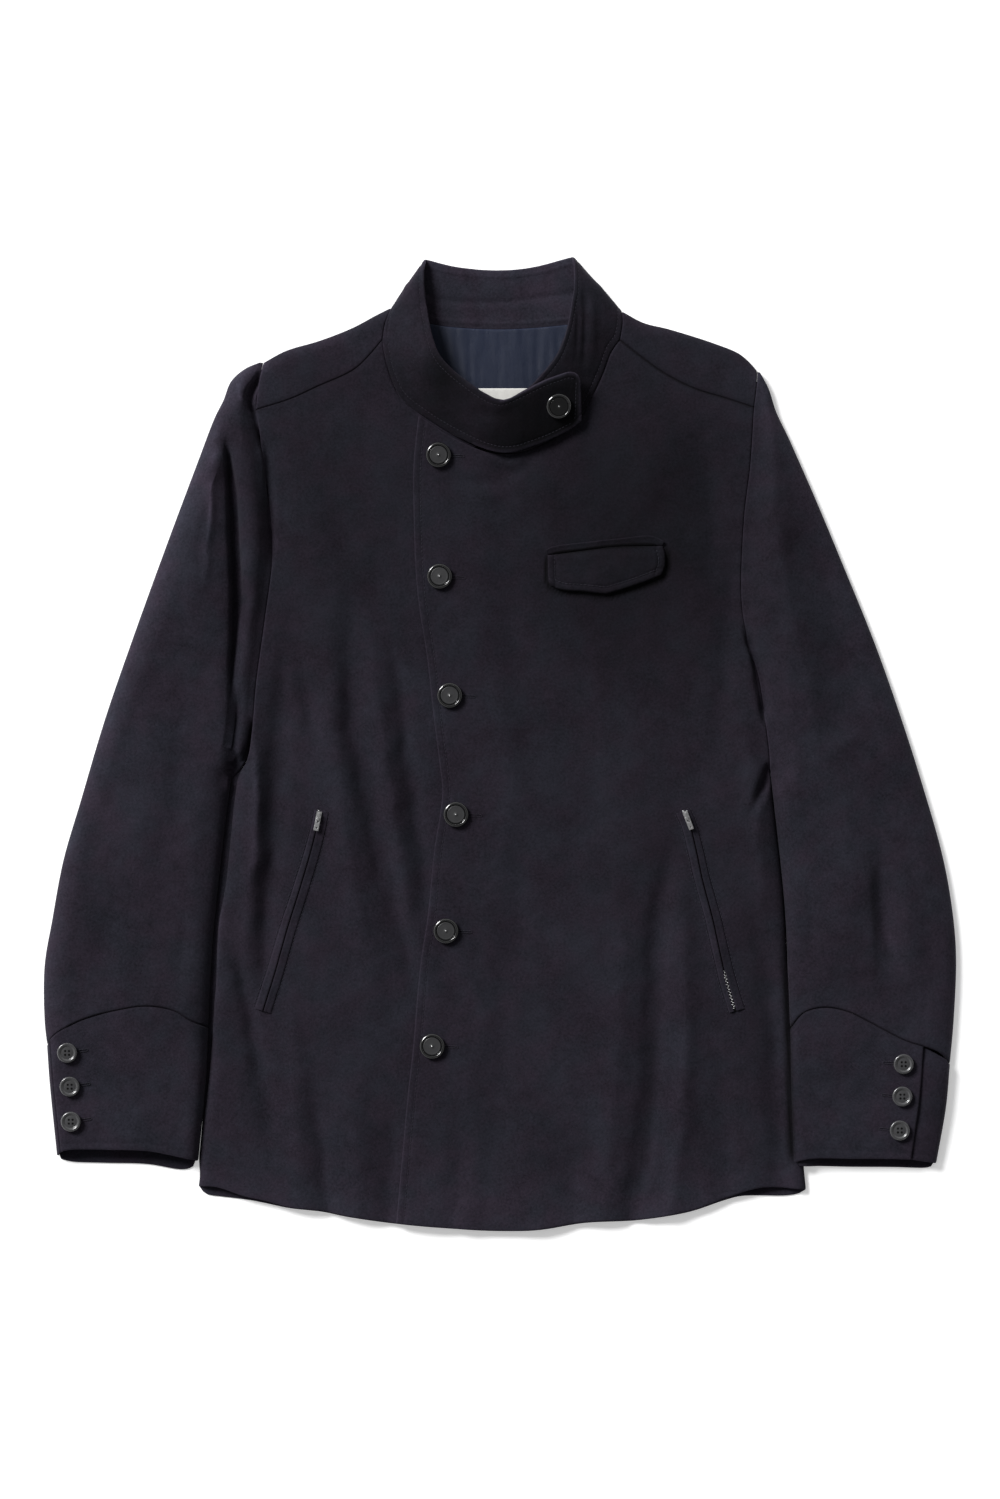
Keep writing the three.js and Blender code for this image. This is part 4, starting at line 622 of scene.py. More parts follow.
def inward(grid, edge):
    """Plan direction into the grid along one of its edges."""
    row = {"left": grid[:, 0], "right": grid[:, -1], "bottom": grid[0], "top": grid[-1]}[edge]
    middle = grid[:, grid.shape[1] // 2] if edge in ("left", "right") else grid[grid.shape[0] // 2]
    along = np.gradient(row, axis=0)
    along /= np.linalg.norm(along, axis=1)[:, None] + 1e-9
    side = np.stack([-along[:, 1], along[:, 0]], axis=1)
    sign = np.sign(np.sum(side * (middle - row), axis=1))
    return side * np.where(sign == 0, 1, sign)[:, None]


def inset(grid, u, v, amounts):
    """The grid with its edges drawn in, the shift fading across it."""
    shift = np.zeros_like(grid)
    for edge, amount in amounts.items():
        way = inward(grid, edge)
        if edge in ("left", "right"):
            share = (1 - u) if edge == "left" else u
            shift += amount * share[..., None] * way[:, None]
        else:
            share = (1 - v) if edge == "bottom" else v
            shift += amount * share[..., None] * way[None]
    return grid + shift


def grid_normals(points, facing):
    along = np.gradient(points, axis=1)
    across = np.gradient(points, axis=0)
    normals = np.cross(along, across)
    normals /= np.linalg.norm(normals, axis=2)[..., None] + 1e-12
    middle = normals[normals.shape[0] // 2, normals.shape[1] // 2]
    return normals * (1 if middle[2] * facing > 0 else -1)


def edge_drop(gap, width, depth):
    """How far the face rounds down near an edge."""
    t = 1 - np.clip(gap / width, 0, 1)
    return depth * (1 - np.sqrt(np.maximum(0, 1 - t * t)))


GROOVE_DEPTH = 0.34
GROOVE_WIDTH = 0.9


def groove(gap, offset, depth=GROOVE_DEPTH, width=GROOVE_WIDTH):
    """Trough that a row of stitches pulls in."""
    return depth * np.exp(-((gap - offset) / width) ** 2)


# Meshes

def new_mesh(name, points, faces, uv=None, fields=None):
    """Mesh from points in millimetres and faces of one size, or a list of such blocks of faces."""
    blocks = faces if isinstance(faces, list) else [faces]
    sizes = np.concatenate([np.full(len(block), block.shape[1]) for block in blocks])
    corners = np.concatenate([block.ravel() for block in blocks]).astype(np.int32)
    mesh = bpy.data.meshes.new(name)
    mesh.vertices.add(len(points))
    mesh.vertices.foreach_set("co", (np.asarray(points) * MM).astype(np.float32).ravel())
    mesh.loops.add(len(corners))
    mesh.loops.foreach_set("vertex_index", corners)
    mesh.polygons.add(len(sizes))
    starts = np.concatenate([[0], np.cumsum(sizes)[:-1]]).astype(np.int32)
    mesh.polygons.foreach_set("loop_start", starts)
    mesh.polygons.foreach_set("use_smooth", np.ones(len(sizes), bool))
    if uv is not None:
        layer = mesh.uv_layers.new(name="cloth")
        layer.data.foreach_set("uv", (np.asarray(uv)[corners] * MM).astype(np.float32).ravel())
    for key, values in (fields or {}).items():
        layer = mesh.attributes.new(key, "FLOAT", "POINT")
        layer.data.foreach_set("value", np.asarray(values, np.float32).ravel())
    mesh.update()
    mesh.validate()
    return mesh


def piece(name, mesh, material, body="jacket", nodes=()):
    made = bpy.data.objects.new(name, mesh)
    bpy.context.scene.collection.objects.link(made)
    mesh.materials.append(material)
    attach(made, body)
    if nodes:
        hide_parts(*nodes)
    return made


def shell(points, normals, thickness, drop):
    """Closed shell of a grid: outer face, inner face and the four narrow sides."""
    rows, columns = points.shape[:2]
    outer = points - normals * drop[..., None]
    inner = points - normals * (thickness - drop)[..., None]
    at = np.arange(rows * columns).reshape(rows, columns)
    low = at + rows * columns
    quad = lambda a, b, c, d: np.stack([a.ravel(), b.ravel(), c.ravel(), d.ravel()], axis=1)
    faces = np.concatenate([
        quad(at[:-1, :-1], at[:-1, 1:], at[1:, 1:], at[1:, :-1]),
        quad(low[:-1, :-1], low[1:, :-1], low[1:, 1:], low[:-1, 1:]),
        quad(at[0, :-1], low[0, :-1], low[0, 1:], at[0, 1:]),
        quad(at[-1, :-1], at[-1, 1:], low[-1, 1:], low[-1, :-1]),
        quad(at[:-1, 0], at[1:, 0], low[1:, 0], low[:-1, 0]),
        quad(at[:-1, -1], low[:-1, -1], low[1:, -1], at[1:, -1]),
    ])
    j, i = rows // 2, columns // 2
    cell = np.cross(points[j, i] - points[j, i - 1], points[j, i] - points[j - 1, i])
    if np.dot(cell, normals[j, i]) < 0:
        faces = faces[:, ::-1]
    return np.concatenate([outer.reshape(-1, 3), inner.reshape(-1, 3)]), faces


def run_along(points, axis):
    """Distance run at each grid point, along its columns (axis 0) or rows (axis 1)."""
    steps = np.linalg.norm(np.diff(points, axis=axis), axis=2)
    start = np.zeros((1, points.shape[1]) if axis == 0 else (points.shape[0], 1))
    return np.concatenate([start, np.cumsum(steps, axis=axis)], axis=axis)


def grid_uv(points):
    """Distance run across and along the cloth at each grid point."""
    across, along = run_along(points, 1), run_along(points, 0)
    across -= across[:, across.shape[1] // 2][:, None]
    return np.stack([across, along], axis=-1)


def sheet_size(points):
    """Widest and longest run of the cloth and its area, in metres."""
    uv = grid_uv(points)
    width = np.ptp(uv[..., 0], axis=1).max() * MM
    length = uv[..., 1].max() * MM
    a, b, c, d = points[:-1, :-1], points[:-1, 1:], points[1:, 1:], points[1:, :-1]
    halves = (np.cross(b - a, c - a), np.cross(c - a, d - a))
    area = 0.5 * sum(np.linalg.norm(half, axis=2) for half in halves)
    return width, length, area.sum() * MM * MM


SHEETS = []
SEWN_ON = {}
# Painted light along the sleeves' outer edges and towards the hem
RIM_PAINTED_LIGHT = 0.45
RIM_PAINTED_LIGHT_WIDTH = 10
HEM_PAINTED_LIGHT = 0.34
# Painted shade in the yoke and cuff seams: how dark and how wide
SEAM_SHADE_DEPTH = 0.62
SEAM_SHADE_WIDTH = 1.1
DARKEST = -0.9


def painted_light_and_shade_at(x, y):
    """Painted light and shade at a place on the garment: patches, light towards the hem and along the
    sleeves' outer edges, shade in seams, and highlight and shade lines; the patches also hold nap brushed
    flat and raised.
    """
    total = np.zeros(np.shape(x))
    for cx, cy, rx, ry, change in NAP_AND_PAINTED_LIGHT_PATCHES:
        total += change * np.exp(-((x - cx) / rx) ** 2 - ((y - cy) / ry) ** 2)
    total += HEM_PAINTED_LIGHT * smoothstep(-y, 322, 386)
    for name in SEAM_SHADE:
        total -= SEAM_SHADE_DEPTH * np.exp(-(distance(CURVE[name], x, y) / SEAM_SHADE_WIDTH) ** 2)
    for name in ("outLeft", "outRight"):
        total += RIM_PAINTED_LIGHT * np.exp(-(distance(CURVE[name], x, y) / RIM_PAINTED_LIGHT_WIDTH) ** 2)
    return total + crease_height(LIGHT_AND_SHADE_CURVES, x, y, 2, wander=0)


def cloth(name, points, normals, thickness, drop, material, slot, nodes, tone=0.0, **sheet):
    """A piece of cloth from its outer grid, kept in a list with its sheet facts, or under the piece it is
    sewn on.
    """
    verts, faces = shell(points, normals, thickness, drop)
    uv = np.concatenate([grid_uv(points).reshape(-1, 2)] * 2)
    # Rounded edges painted lighter: partly edge wear, partly painted highlight
    wear_and_sheen = np.concatenate([np.clip(drop / thickness * 2, 0, 1).ravel()] * 2)
    # Painted light and shade, with the given tone added, as a change of brightness at each point
    shade = painted_light_and_shade_at(points[..., 0], points[..., 1]) + tone
    shade = np.concatenate([np.maximum(shade, DARKEST).ravel()] * 2)
    mesh = new_mesh(name, verts, faces, uv, {"wear_and_sheen": wear_and_sheen, "tone": shade})
    made = piece(f"{name}_cloth", mesh, material, nodes=nodes)
    if "part_of" in sheet:
        SEWN_ON.setdefault(sheet["part_of"], []).append(made)
    else:
        SHEETS.append((made, points, sheet))
    return made


EDGE_WIDTH = 1.5
EDGE_DEPTH = 0.6
ON_LINE = 1.2
SEAM = turned(EDGE_WIDTH)


def ends_of(sampling=SEAM, **others):
    """The same sampling distances at all four edges of a panel, save those given."""
    return {"left": sampling, "right": sampling, "bottom": sampling, "top": sampling, **others}


def panel(name, edges, top, thickness=CLOTH, spacing=3.0, facing=1, ends=None, insets=None, floors=(),
          rounded=(), stitches=(), knot=None, base=flat_base, material=None, slot="shell_cloth", nodes=None,
          **sheet):
    """A cloth panel over a plan grid. floors are (edge, line) parts that roll down, rounded the lines whose
    edge is turned or sewn, and stitches the (line, offset) rows sunk into it."""
    plan, u, v = coons(*edges, ends or ends_of(), spacing, knot)
    plan = inset(plan, u, v, insets or {})
    x, y = plan[..., 0], plan[..., 1]
    points = np.dstack([x, y, top(x, y)])
    for line, offset in stitches:
        points[..., 2] -= groove(distance(line, x, y), offset)
    normals = grid_normals(points, facing)
    for edge, line in floors:
        place = {"left": np.s_[:, 0], "right": np.s_[:, -1], "bottom": np.s_[0, :], "top": np.s_[-1, :]}[edge]
        rim = plan[place]
        on_floor = distance(line, rim[:, 0], rim[:, 1]) < ON_LINE
        way = -inward(plan, edge)
        level = points[place]
        level[on_floor, 2] = base(rim[on_floor, 0], rim[on_floor, 1]) + UNDER_LEVEL
        points[place] = level
        turned_out = normals[place]
        turned_out[on_floor] = np.column_stack([way[on_floor], np.zeros(on_floor.sum())])
        normals[place] = turned_out
    drop = np.zeros(x.shape)
    for line in rounded:
        gap = distance(line, x, y) - SEAM_INSET
        drop = np.maximum(drop, edge_drop(gap, EDGE_WIDTH, EDGE_DEPTH * thickness))
    nodes = [name] if nodes is None else nodes
    return cloth(name, points, normals, thickness, drop, material or FABRIC, slot, nodes, **sheet)


def surface_points(top, line, lift=0.0):
    """3-D points and normals on a surface along a plan line."""
    x, y = line[:, 0], line[:, 1]
    reach = 0.8
    z = top(x, y)
    dx = (top(x + reach, y) - top(x - reach, y)) / (2 * reach)
    dy = (top(x, y + reach) - top(x, y - reach)) / (2 * reach)
    normals = np.stack([-dx, -dy, np.ones_like(dx)], axis=1)
    normals /= np.linalg.norm(normals, axis=1)[:, None]
    return np.stack([x, y, z], axis=1) + lift * normals, normals


def run_of(path):
    return np.concatenate([[0], np.cumsum(np.linalg.norm(np.diff(path, axis=0), axis=1))])


THREAD_SIDES = 5
# Along one stitch: share of its length, thickness and how deep it is sunk, at each of its rings
THREAD_RINGS = [(-0.5, 0.45, 0.28), (-0.3, 1.0, 0.0), (0.3, 1.0, 0.0), (0.5, 0.45, 0.28)]


def stitch_row(path, normals, seed, pitch, length, radius):
    """Points and faces of a row of thread stitches lying along a path."""
    run = run_of(path)
    chance = np.random.default_rng(SEED + 100 + seed)
    starts = np.arange(pitch / 2, run[-1] - pitch / 2, pitch)
    starts = starts + chance.uniform(-0.12, 0.12, len(starts))
    angles = np.radians(np.arange(THREAD_SIDES) * 360 / THREAD_SIDES)
    verts = []
    for share, thick, deep in THREAD_RINGS:
        s = starts + share * length
        centre, up = interpolated(s, run, path), interpolated(s, run, normals)
        ahead = interpolated(s + 0.4, run, path) - interpolated(s - 0.4, run, path)
        ahead /= np.linalg.norm(ahead, axis=1)[:, None] + 1e-9
        side = np.cross(up, ahead)
        for angle in angles:
            out = math.cos(angle) * side + math.sin(angle) * up
            verts.append(centre - up * deep + radius * thick * out)
    verts = np.stack(verts, axis=1)
    ring = np.arange(THREAD_SIDES)
    after = np.roll(ring, -1)
    quads = np.concatenate([
        np.stack([ring, after, THREAD_SIDES + after, THREAD_SIDES + ring], axis=1) + k * THREAD_SIDES
        for k in range(len(THREAD_RINGS) - 1)
    ])
    caps = np.array([ring[::-1], (len(THREAD_RINGS) - 1) * THREAD_SIDES + ring])
    offset = (np.arange(len(starts)) * len(THREAD_RINGS) * THREAD_SIDES)[:, None, None]
    faces = [(part[None] + offset).reshape(-1, part.shape[1]) for part in (quads, caps)]
    return verts.reshape(-1, 3), *faces


def stitches_piece(name, rows, size=STITCH, first_seed=0, tone=0.0):
    """One piece of thread from several rows of stitches, each a (path, normals) pair."""
    verts, quads, caps, count = [], [], [], 0
    for index, (path, normals) in enumerate(rows):
        v, q, c = stitch_row(path, normals, first_seed + index, **size)
        verts.append(v)
        quads.append(q + count)
        caps.append(c + count)
        count += len(v)
    faces = [np.concatenate(quads), np.concatenate(caps)]
    mesh = new_mesh(name, np.concatenate(verts), faces, fields={"tone": np.full(count, tone)})
    piece(name, mesh, THREAD)


# Materials

def node_material(name):
    material = bpy.data.materials.new(name)
    material.use_nodes = True
    tree = material.node_tree
    return material, tree, tree.nodes["Principled BSDF"]


def set_inputs(tree, node, inputs):
    """Links or sets a node's inputs from a table."""
    for key, value in inputs.items():
        if isinstance(value, bpy.types.NodeSocket):
            tree.links.new(value, node.inputs[key])
        else:
            node.inputs[key].default_value = value


def add_node(tree, kind, inputs=None, **settings):
    made = tree.nodes.new(kind)
    for key, value in settings.items():
        setattr(made, key, value)
    set_inputs(tree, made, inputs or {})
    return made


def noise(tree, vector, scale, detail=2.0, rough=0.5):
    inputs = {"Vector": vector, "Scale": scale, "Detail": detail, "Roughness": rough}
    return add_node(tree, "ShaderNodeTexNoise", inputs).outputs["Fac"]


def math_node(tree, operation, a, b=0.0):
    return add_node(tree, "ShaderNodeMath", {0: a, 1: b}, operation=operation).outputs[0]


def mix_colour(tree, factor, a, b):
    return add_node(tree, "ShaderNodeMix", {0: factor, 6: a, 7: b}, data_type="RGBA").outputs[2]


def ramp(tree, value, low=0.0, high=1.0, to_low=0.0, to_high=1.0):
    inputs = {"Value": value, "From Min": low, "From Max": high, "To Min": to_low, "To Max": to_high}
    return add_node(tree, "ShaderNodeMapRange", inputs).outputs["Result"]


def bump(tree, height, strength, distance_mm, normal=None):
    inputs = {"Height": height, "Strength": strength, "Distance": distance_mm * MM}
    if normal is not None:
        inputs["Normal"] = normal
    return add_node(tree, "ShaderNodeBump", inputs).outputs["Normal"]


PLAIN = (1, 1, 1, 1)
# Noise in the cloth as scale per metre, detail, roughness, and the values that count as its least and most
NAP = {
    "broad": (16.0, 3.0, 0.6, 0.34, 0.66),
    "patches": (85.0, 3.0, 0.6, 0.3, 0.7),
    "fibre": (520.0, 4.0, 0.75, 0.3, 0.7),
    "hue": (34.0, 2.0, 0.6, 0.36, 0.64),
}
BROAD_SHARE = 0.26
PATCH_SHARE = 0.24
SHEEN_TINT = (0.8, 0.78, 0.9, 1)
COOLER = (0.88, 1.1, 1.04, 1)
TWILL_ANGLE = 52
TWILL_SCALE = 0.314
WORN_AND_LIT_BRIGHTER = 2.4
WORN_AND_LIT_SHARE = 0.24


def woven(name, dark, light, sheen, twill_mm, roughness=0.92, mottle=1.0, nap=0.5, cool=COOLER, specular=0.08,
          grain=0.62):
    """Cloth: a twill that follows the piece's own run, a brushed nap and slow colour changes, lightened on
    rounded edges by wear and painted highlight, and scaled by the painted light and shade in its tone
    attribute.
    """
    material, tree, shader = node_material(name)
    place = add_node(tree, "ShaderNodeTexCoord")
    spot = place.outputs["Object"]
    broad, patches, fibre, hue = (
        ramp(tree, noise(tree, spot, scale, detail, rough), low, high)
        for scale, detail, rough, low, high in NAP.values()
    )
    shade = math_node(tree, "ADD", math_node(tree, "MULTIPLY", broad, BROAD_SHARE * mottle),
                      math_node(tree, "MULTIPLY", patches, PATCH_SHARE * mottle))
    shade = math_node(tree, "ADD", shade, math_node(tree, "MULTIPLY", fibre, grain))
    colour = mix_colour(tree, shade, dark, light)
    cooler = add_node(tree, "ShaderNodeVectorMath", {0: colour, 1: cool[:3]}, operation="MULTIPLY").outputs[0]
    colour = mix_colour(tree, math_node(tree, "MULTIPLY", hue, mottle), colour, cooler)
    # Rounded edges lightened, partly for wear and partly as a painted highlight
    wear_and_sheen = add_node(tree, "ShaderNodeAttribute", attribute_name="wear_and_sheen").outputs["Fac"]
    worn_and_lit = tuple(min(1.0, WORN_AND_LIT_BRIGHTER * c) for c in light[:3]) + (1.0,)
    colour = mix_colour(tree, math_node(tree, "MULTIPLY", wear_and_sheen, WORN_AND_LIT_SHARE), colour, worn_and_lit)
    # The tone attribute holds painted light and shade and scales the colour
    tone = add_node(tree, "ShaderNodeAttribute", attribute_name="tone").outputs["Fac"]
    toned = add_node(tree, "ShaderNodeVectorMath", {0: colour, "Scale": math_node(tree, "ADD", tone, 1.0)},
                     operation="SCALE").outputs[0]
    turn = add_node(tree, "ShaderNodeMapping",
                    {"Vector": place.outputs["UV"], "Rotation": (0, 0, math.radians(TWILL_ANGLE))})
    weave = add_node(
        tree, "ShaderNodeTexWave",
        {"Vector": turn.outputs[0], "Scale": TWILL_SCALE / (twill_mm * MM), "Distortion": 1.1, "Detail": 1.0,
         "Detail Scale": 2.0},
        wave_type="BANDS", bands_direction="X")
    normal = bump(tree, weave.outputs["Fac"], 0.35, 0.12)
    normal = bump(tree, fibre, nap, 0.3, normal)
    normal = bump(tree, patches, 0.25, 0.35, normal)
    rough = ramp(tree, patches, to_low=roughness - 0.05, to_high=roughness + 0.05)
    set_inputs(tree, shader, {
        "Base Color": toned, "Normal": normal, "Roughness": rough, "Specular IOR Level": specular,
        "Sheen Weight": sheen, "Sheen Roughness": 0.45, "Sheen Tint": SHEEN_TINT,
    })
    return material


def polished(name, colour, roughness, metallic=0.0, specular=0.5):
    """Hard finish with fine scratches and a slight change of tone."""
    material, tree, shader = node_material(name)
    spot = add_node(tree, "ShaderNodeTexCoord").outputs["Object"]
    tone = noise(tree, spot, 220.0, 3.0, 0.6)
    fine = noise(tree, spot, 2600.0, 3.0, 0.7)
    other = tuple(c * 0.7 for c in colour[:3]) + (1.0,)
    set_inputs(tree, shader, {
        "Base Color": mix_colour(tree, tone, colour, other),
        "Roughness": ramp(tree, fine, to_low=roughness * 0.7, to_high=roughness * 1.4),
        "Normal": bump(tree, fine, 0.25, 0.02),
        "Metallic": metallic, "Specular IOR Level": specular,
    })
    return material


FABRIC = woven("shell_cloth_weave", (0.0058, 0.0047, 0.0075, 1), (0.0255, 0.0201, 0.0303, 1), 0.045, 0.9)
SATIN = woven("lining_satin", (0.0105, 0.0152, 0.033, 1), (0.0178, 0.0248, 0.053, 1), 0.05, 0.35,
              roughness=0.5, mottle=0.5, nap=0.12, cool=PLAIN, specular=0.2, grain=0.3)
TAPE = woven("zip_tape_weave", (0.004, 0.004, 0.005, 1), (0.009, 0.009, 0.01, 1), 0.03, 0.5, cool=PLAIN)
LABEL = woven("label_weave", (0.72, 0.71, 0.68, 1), (0.82, 0.81, 0.78, 1), 0.1, 0.5,
              roughness=0.8, mottle=0.5, nap=0.2, cool=PLAIN, specular=0.2)
THREAD = woven("thread", (0.011, 0.009, 0.014, 1), (0.034, 0.029, 0.04, 1), 0.08, 0.3, roughness=0.6, nap=0.3)
GLOSS = polished("button_gloss", (0.0035, 0.0035, 0.004, 1), 0.16, specular=1.0)
HOLE = polished("button_hole_dark", (0.002, 0.002, 0.002, 1), 0.6, specular=0.1)
GREY_DISC = polished("button_disc", (0.036, 0.036, 0.038, 1), 0.4, specular=0.4)
CUFF_GREY = polished("cuff_button_grey", (0.05, 0.05, 0.053, 1), 0.22, specular=1.0)
METAL = polished("zip_nickel", (0.86, 0.86, 0.87, 1), 0.34, metallic=1.0)


# Body

def up(name):
    return CURVE[name]


def down(name):
    return CURVE[name][::-1]


def cut(line, x, after):
    """The part of a left-to-right line before or after the given x."""
    keep = line[:, 0] > x if after else line[:, 0] < x
    y = np.interp(x, line[:, 0], line[:, 1])
    return np.vstack([[x, y], line[keep]]) if after else np.vstack([line[keep], [x, y]])


# Lowest and highest y of the under front's hidden edge, and where its armhole leaves the side line
HIDDEN_SPAN = (-384, 237)
ARM_START = -13


def body_panels():
    hem_line, placket = CURVE["hem"], CURVE["placket"]
    ys = np.linspace(*HIDDEN_SPAN, 9)
    hidden = smooth(np.column_stack([x_at(placket, ys) + PLACKET_OVERLAP, ys]))
    hidden[0, 1] = np.interp(hidden[0, 0], hem_line[:, 0], hem_line[:, 1])
    hidden[-1] = CURVE["neckUnder"][-1]
    top = join(up("yokeLeft"), up("neckUnder"))
    arm = up("armFrontLeft")
    left = join(up("sideFront"), np.vstack([up("sideFront")[-1:], arm[arm[:, 1] > ARM_START]]))
    hem = cut(hem_line, hidden[0, 0], after=False)
    hem = fitted(hem, left[0], hem[-1])
    panel(
        "front_under", (hem, top, left, hidden), body_top, spacing=2.6, ends=ends_of(left=rolled(BODY_ROLL)),
        insets={"left": SIDE_INSET}, floors=[("left", CURVE["sideFront"])],
        rounded=[CURVE["yokeLeft"], CURVE["neckUnder"], hem_line, hidden, arm],
        knot=lengths(up("yokeLeft"))[-1] / lengths(top)[-1], rests_on=["back_panel"],
    )
    top = join(down("neckOver"), down("yokeRight"))
    hem = cut(hem_line, placket[0, 0], after=True)
    hem[0] = placket[0]
    right = join(up("sideRight"), up("armFrontRight"))
    panel(
        "front_over", (hem, top, placket, right), over_top, spacing=2.8,
        ends=ends_of(left=stitched(EDGE_WIDTH, TOPSTITCH), right=rolled(BODY_ROLL)),
        insets={"right": SIDE_INSET}, floors=[("right", CURVE["sideRight"])],
        rounded=[CURVE["yokeRight"], CURVE["neckOver"], hem_line, placket, CURVE["armFrontRight"]],
        stitches=[(placket, TOPSTITCH)], knot=lengths(up("neckOver"))[-1] / lengths(top)[-1],
        rests_on=["front_under", "back_panel"],
    )
    for name in ("Left", "Right"):
        yoke, shoulder, arm, neck = (up(part + name) for part in ("yoke", "shoulder", "armYoke", "neckYoke"))
        panel(
            f"yoke_{name.lower()}", (yoke, shoulder, arm, neck), body_top, spacing=2.6,
            ends=ends_of(top=rolled(BODY_ROLL)), insets={"left": SIDE_INSET}, floors=[("top", shoulder)],
            rounded=[yoke, arm, neck], rests_on=["back_panel"],
        )


CENTRE_SEAM = np.array([(0.0, -392.0), (0.0, 330.0)])
CENTRE_GROOVE = {"depth": 0.5, "width": 1.2}
BACK_SPACING = 4.4
# How much further in the back's left edge runs beside the cuff, which it would else show past
BESIDE_CUFF = 2.3


def back_height(x, y):
    height, size, seed = BACK_SWELL
    folds = np.maximum(0, crease_height(BACK_LINES, x, y)) + height * np.maximum(0, waves(x, y, size, seed))
    gap = np.minimum.reduce([distance(line, x, y) for line in BODY_EDGES])
    return folds * smoothstep(gap, 3, 26) + groove(distance(CENTRE_SEAM, x, y), 0, **CENTRE_GROOVE)


def back_panel():
    left = join(up("sideLeft"), up("armFrontLeft"), up("armYokeLeft"))
    right = join(up("sideRight"), up("armFrontRight"), up("armYokeRight"))
    beside_cuff = smoothstep(-left[:, 1], 120, 170) * (1 - smoothstep(-left[:, 1], 330, 348))
    left = moved(left, BESIDE_CUFF * beside_cuff - BACK_INSET)
    right = moved(right, BACK_INSET)
    top = moved(join(up("shoulderLeft"), up("neckBack"), down("shoulderRight")), -BACK_INSET)
    top = fitted(top, left[-1], right[-1])
    hem = fitted(up("hemBack"), left[0], right[0])
    panel(
        "back_panel", (hem, top, left, right), back_height, spacing=BACK_SPACING, facing=-1,
        rounded=[hem, top, left, right], rests_on=["floor"],
    )


# Sleeves

# The under sleeve leaves out the first share of the outer line and the last steps of the armhole
UNDER_START = 0.03
UNDER_TRIM = 4
UNDER_HEM_SHIFT = 0.15


def sleeves():
    for side, sign in (("left", 1), ("right", -1)):
        name = side.capitalize()
        upright = join(down("inner" + name), up("armFront" + name), up("armYoke" + name))
        outer = down("out" + name)
        hem, cap = up("cuffSeam" + name), np.array([outer[-1], upright[-1]])
        panel(
            f"sleeve_top_{side}", (hem, cap, outer, upright), sleeve_top(side), spacing=2.0,
            ends=ends_of(left=rolled(SLEEVE_ROLL), right=rolled(SLEEVE_ROLL)), insets={"right": SIDE_INSET},
            floors=[("left", outer), ("right", CURVE["inner" + name]), ("top", cap)], base=BASE[side],
            rounded=[hem, arm_line(side)],
            stitches=[(CURVE["hindSeamRight"], 0.0)] if side == "right" else [],
            rests_on=[f"sleeve_under_{side}"],
        )
        under_out = pick(up("out" + name), np.linspace(UNDER_START, 1, 160))
        under_out = moved(under_out, sign * BACK_INSET)[::-1]
        under_in = join(down("inner" + name), up("armFront" + name), up("armYoke" + name)[:-UNDER_TRIM])
        under_in = moved(under_in, -sign * BACK_INSET)
        under_hem = moved(hem, -sign * (CUFF_SEAM_INSET + UNDER_HEM_SHIFT))
        under_out[0] = under_hem[0]
        under_in[0] = under_hem[-1]
        edges = (under_hem, np.array([under_out[-1], under_in[-1]]), under_out, under_in)
        panel(
            f"sleeve_under_{side}", edges, BASE[side], spacing=BACK_SPACING, facing=-1, rounded=list(edges),
            rests_on=["floor"],
        )


# Cuffs

CUFF_STEPS = 44
CUFF_TOP_STITCH = 4.0
CUFF_STITCH = 4.6
CUFF_LAP_GAP = 0.6
CUFF_GROOVE = {"depth": 0.3, "width": 1.1}


def cuff_path(width, lap):
    """Way round the cuff: distance across, rise, corner, layer and back at each step."""
    steps = []
    sine = lambda degrees: math.sin(math.radians(degrees))
    rolled_in = lambda degrees: CUFF_ROLL * (1 - math.cos(math.radians(degrees)))
    put = lambda *values: steps.append(values)
    for a in np.concatenate([lap + SEAM, np.linspace(lap + 3, width - CUFF_ROLL, CUFF_STEPS)]):
        put(a, float(roll(a, CUFF_ROLL)), 0, 0, 0)
    for degrees in (72, 60, 50, 40, 30, 20, 10, 0):
        put(width - rolled_in(degrees), sine(degrees), 0, 0, 0)
    for degrees in (22, 45, 68, 90):
        put(width - CUFF_CORNER * (1 - sine(90 - degrees)), 0, sine(degrees), 0, 0)
    for a in np.linspace(width - 2 * CUFF_CORNER, 2 * CUFF_CORNER, CUFF_STEPS):
        put(a, 0, 1, 0, 1)
    for degrees in (90, 68, 45, 22):
        put(CUFF_CORNER * (1 - sine(90 - degrees)), 0, sine(degrees), 0, 0)
    for degrees in (0, 10, 20, 30, 40, 50):
        put(rolled_in(degrees), sine(degrees), 0, 0, 0)
    for a in np.concatenate([np.linspace(max(lap, rolled_in(60)), lap + CUFF_OVERLAP - 2, 6),
                             lap + CUFF_OVERLAP - SEAM[::-1]]):
        put(a, float(roll(a, CUFF_ROLL)), 0, 1, 0)
    return np.array(steps)


def cuff_swell(x, y):
    return swells(x, y, CUFF_SWELLS)


def facing_up(normals, j, i):
    return normals * (1 if normals[j, i, 2] > 0 else -1)


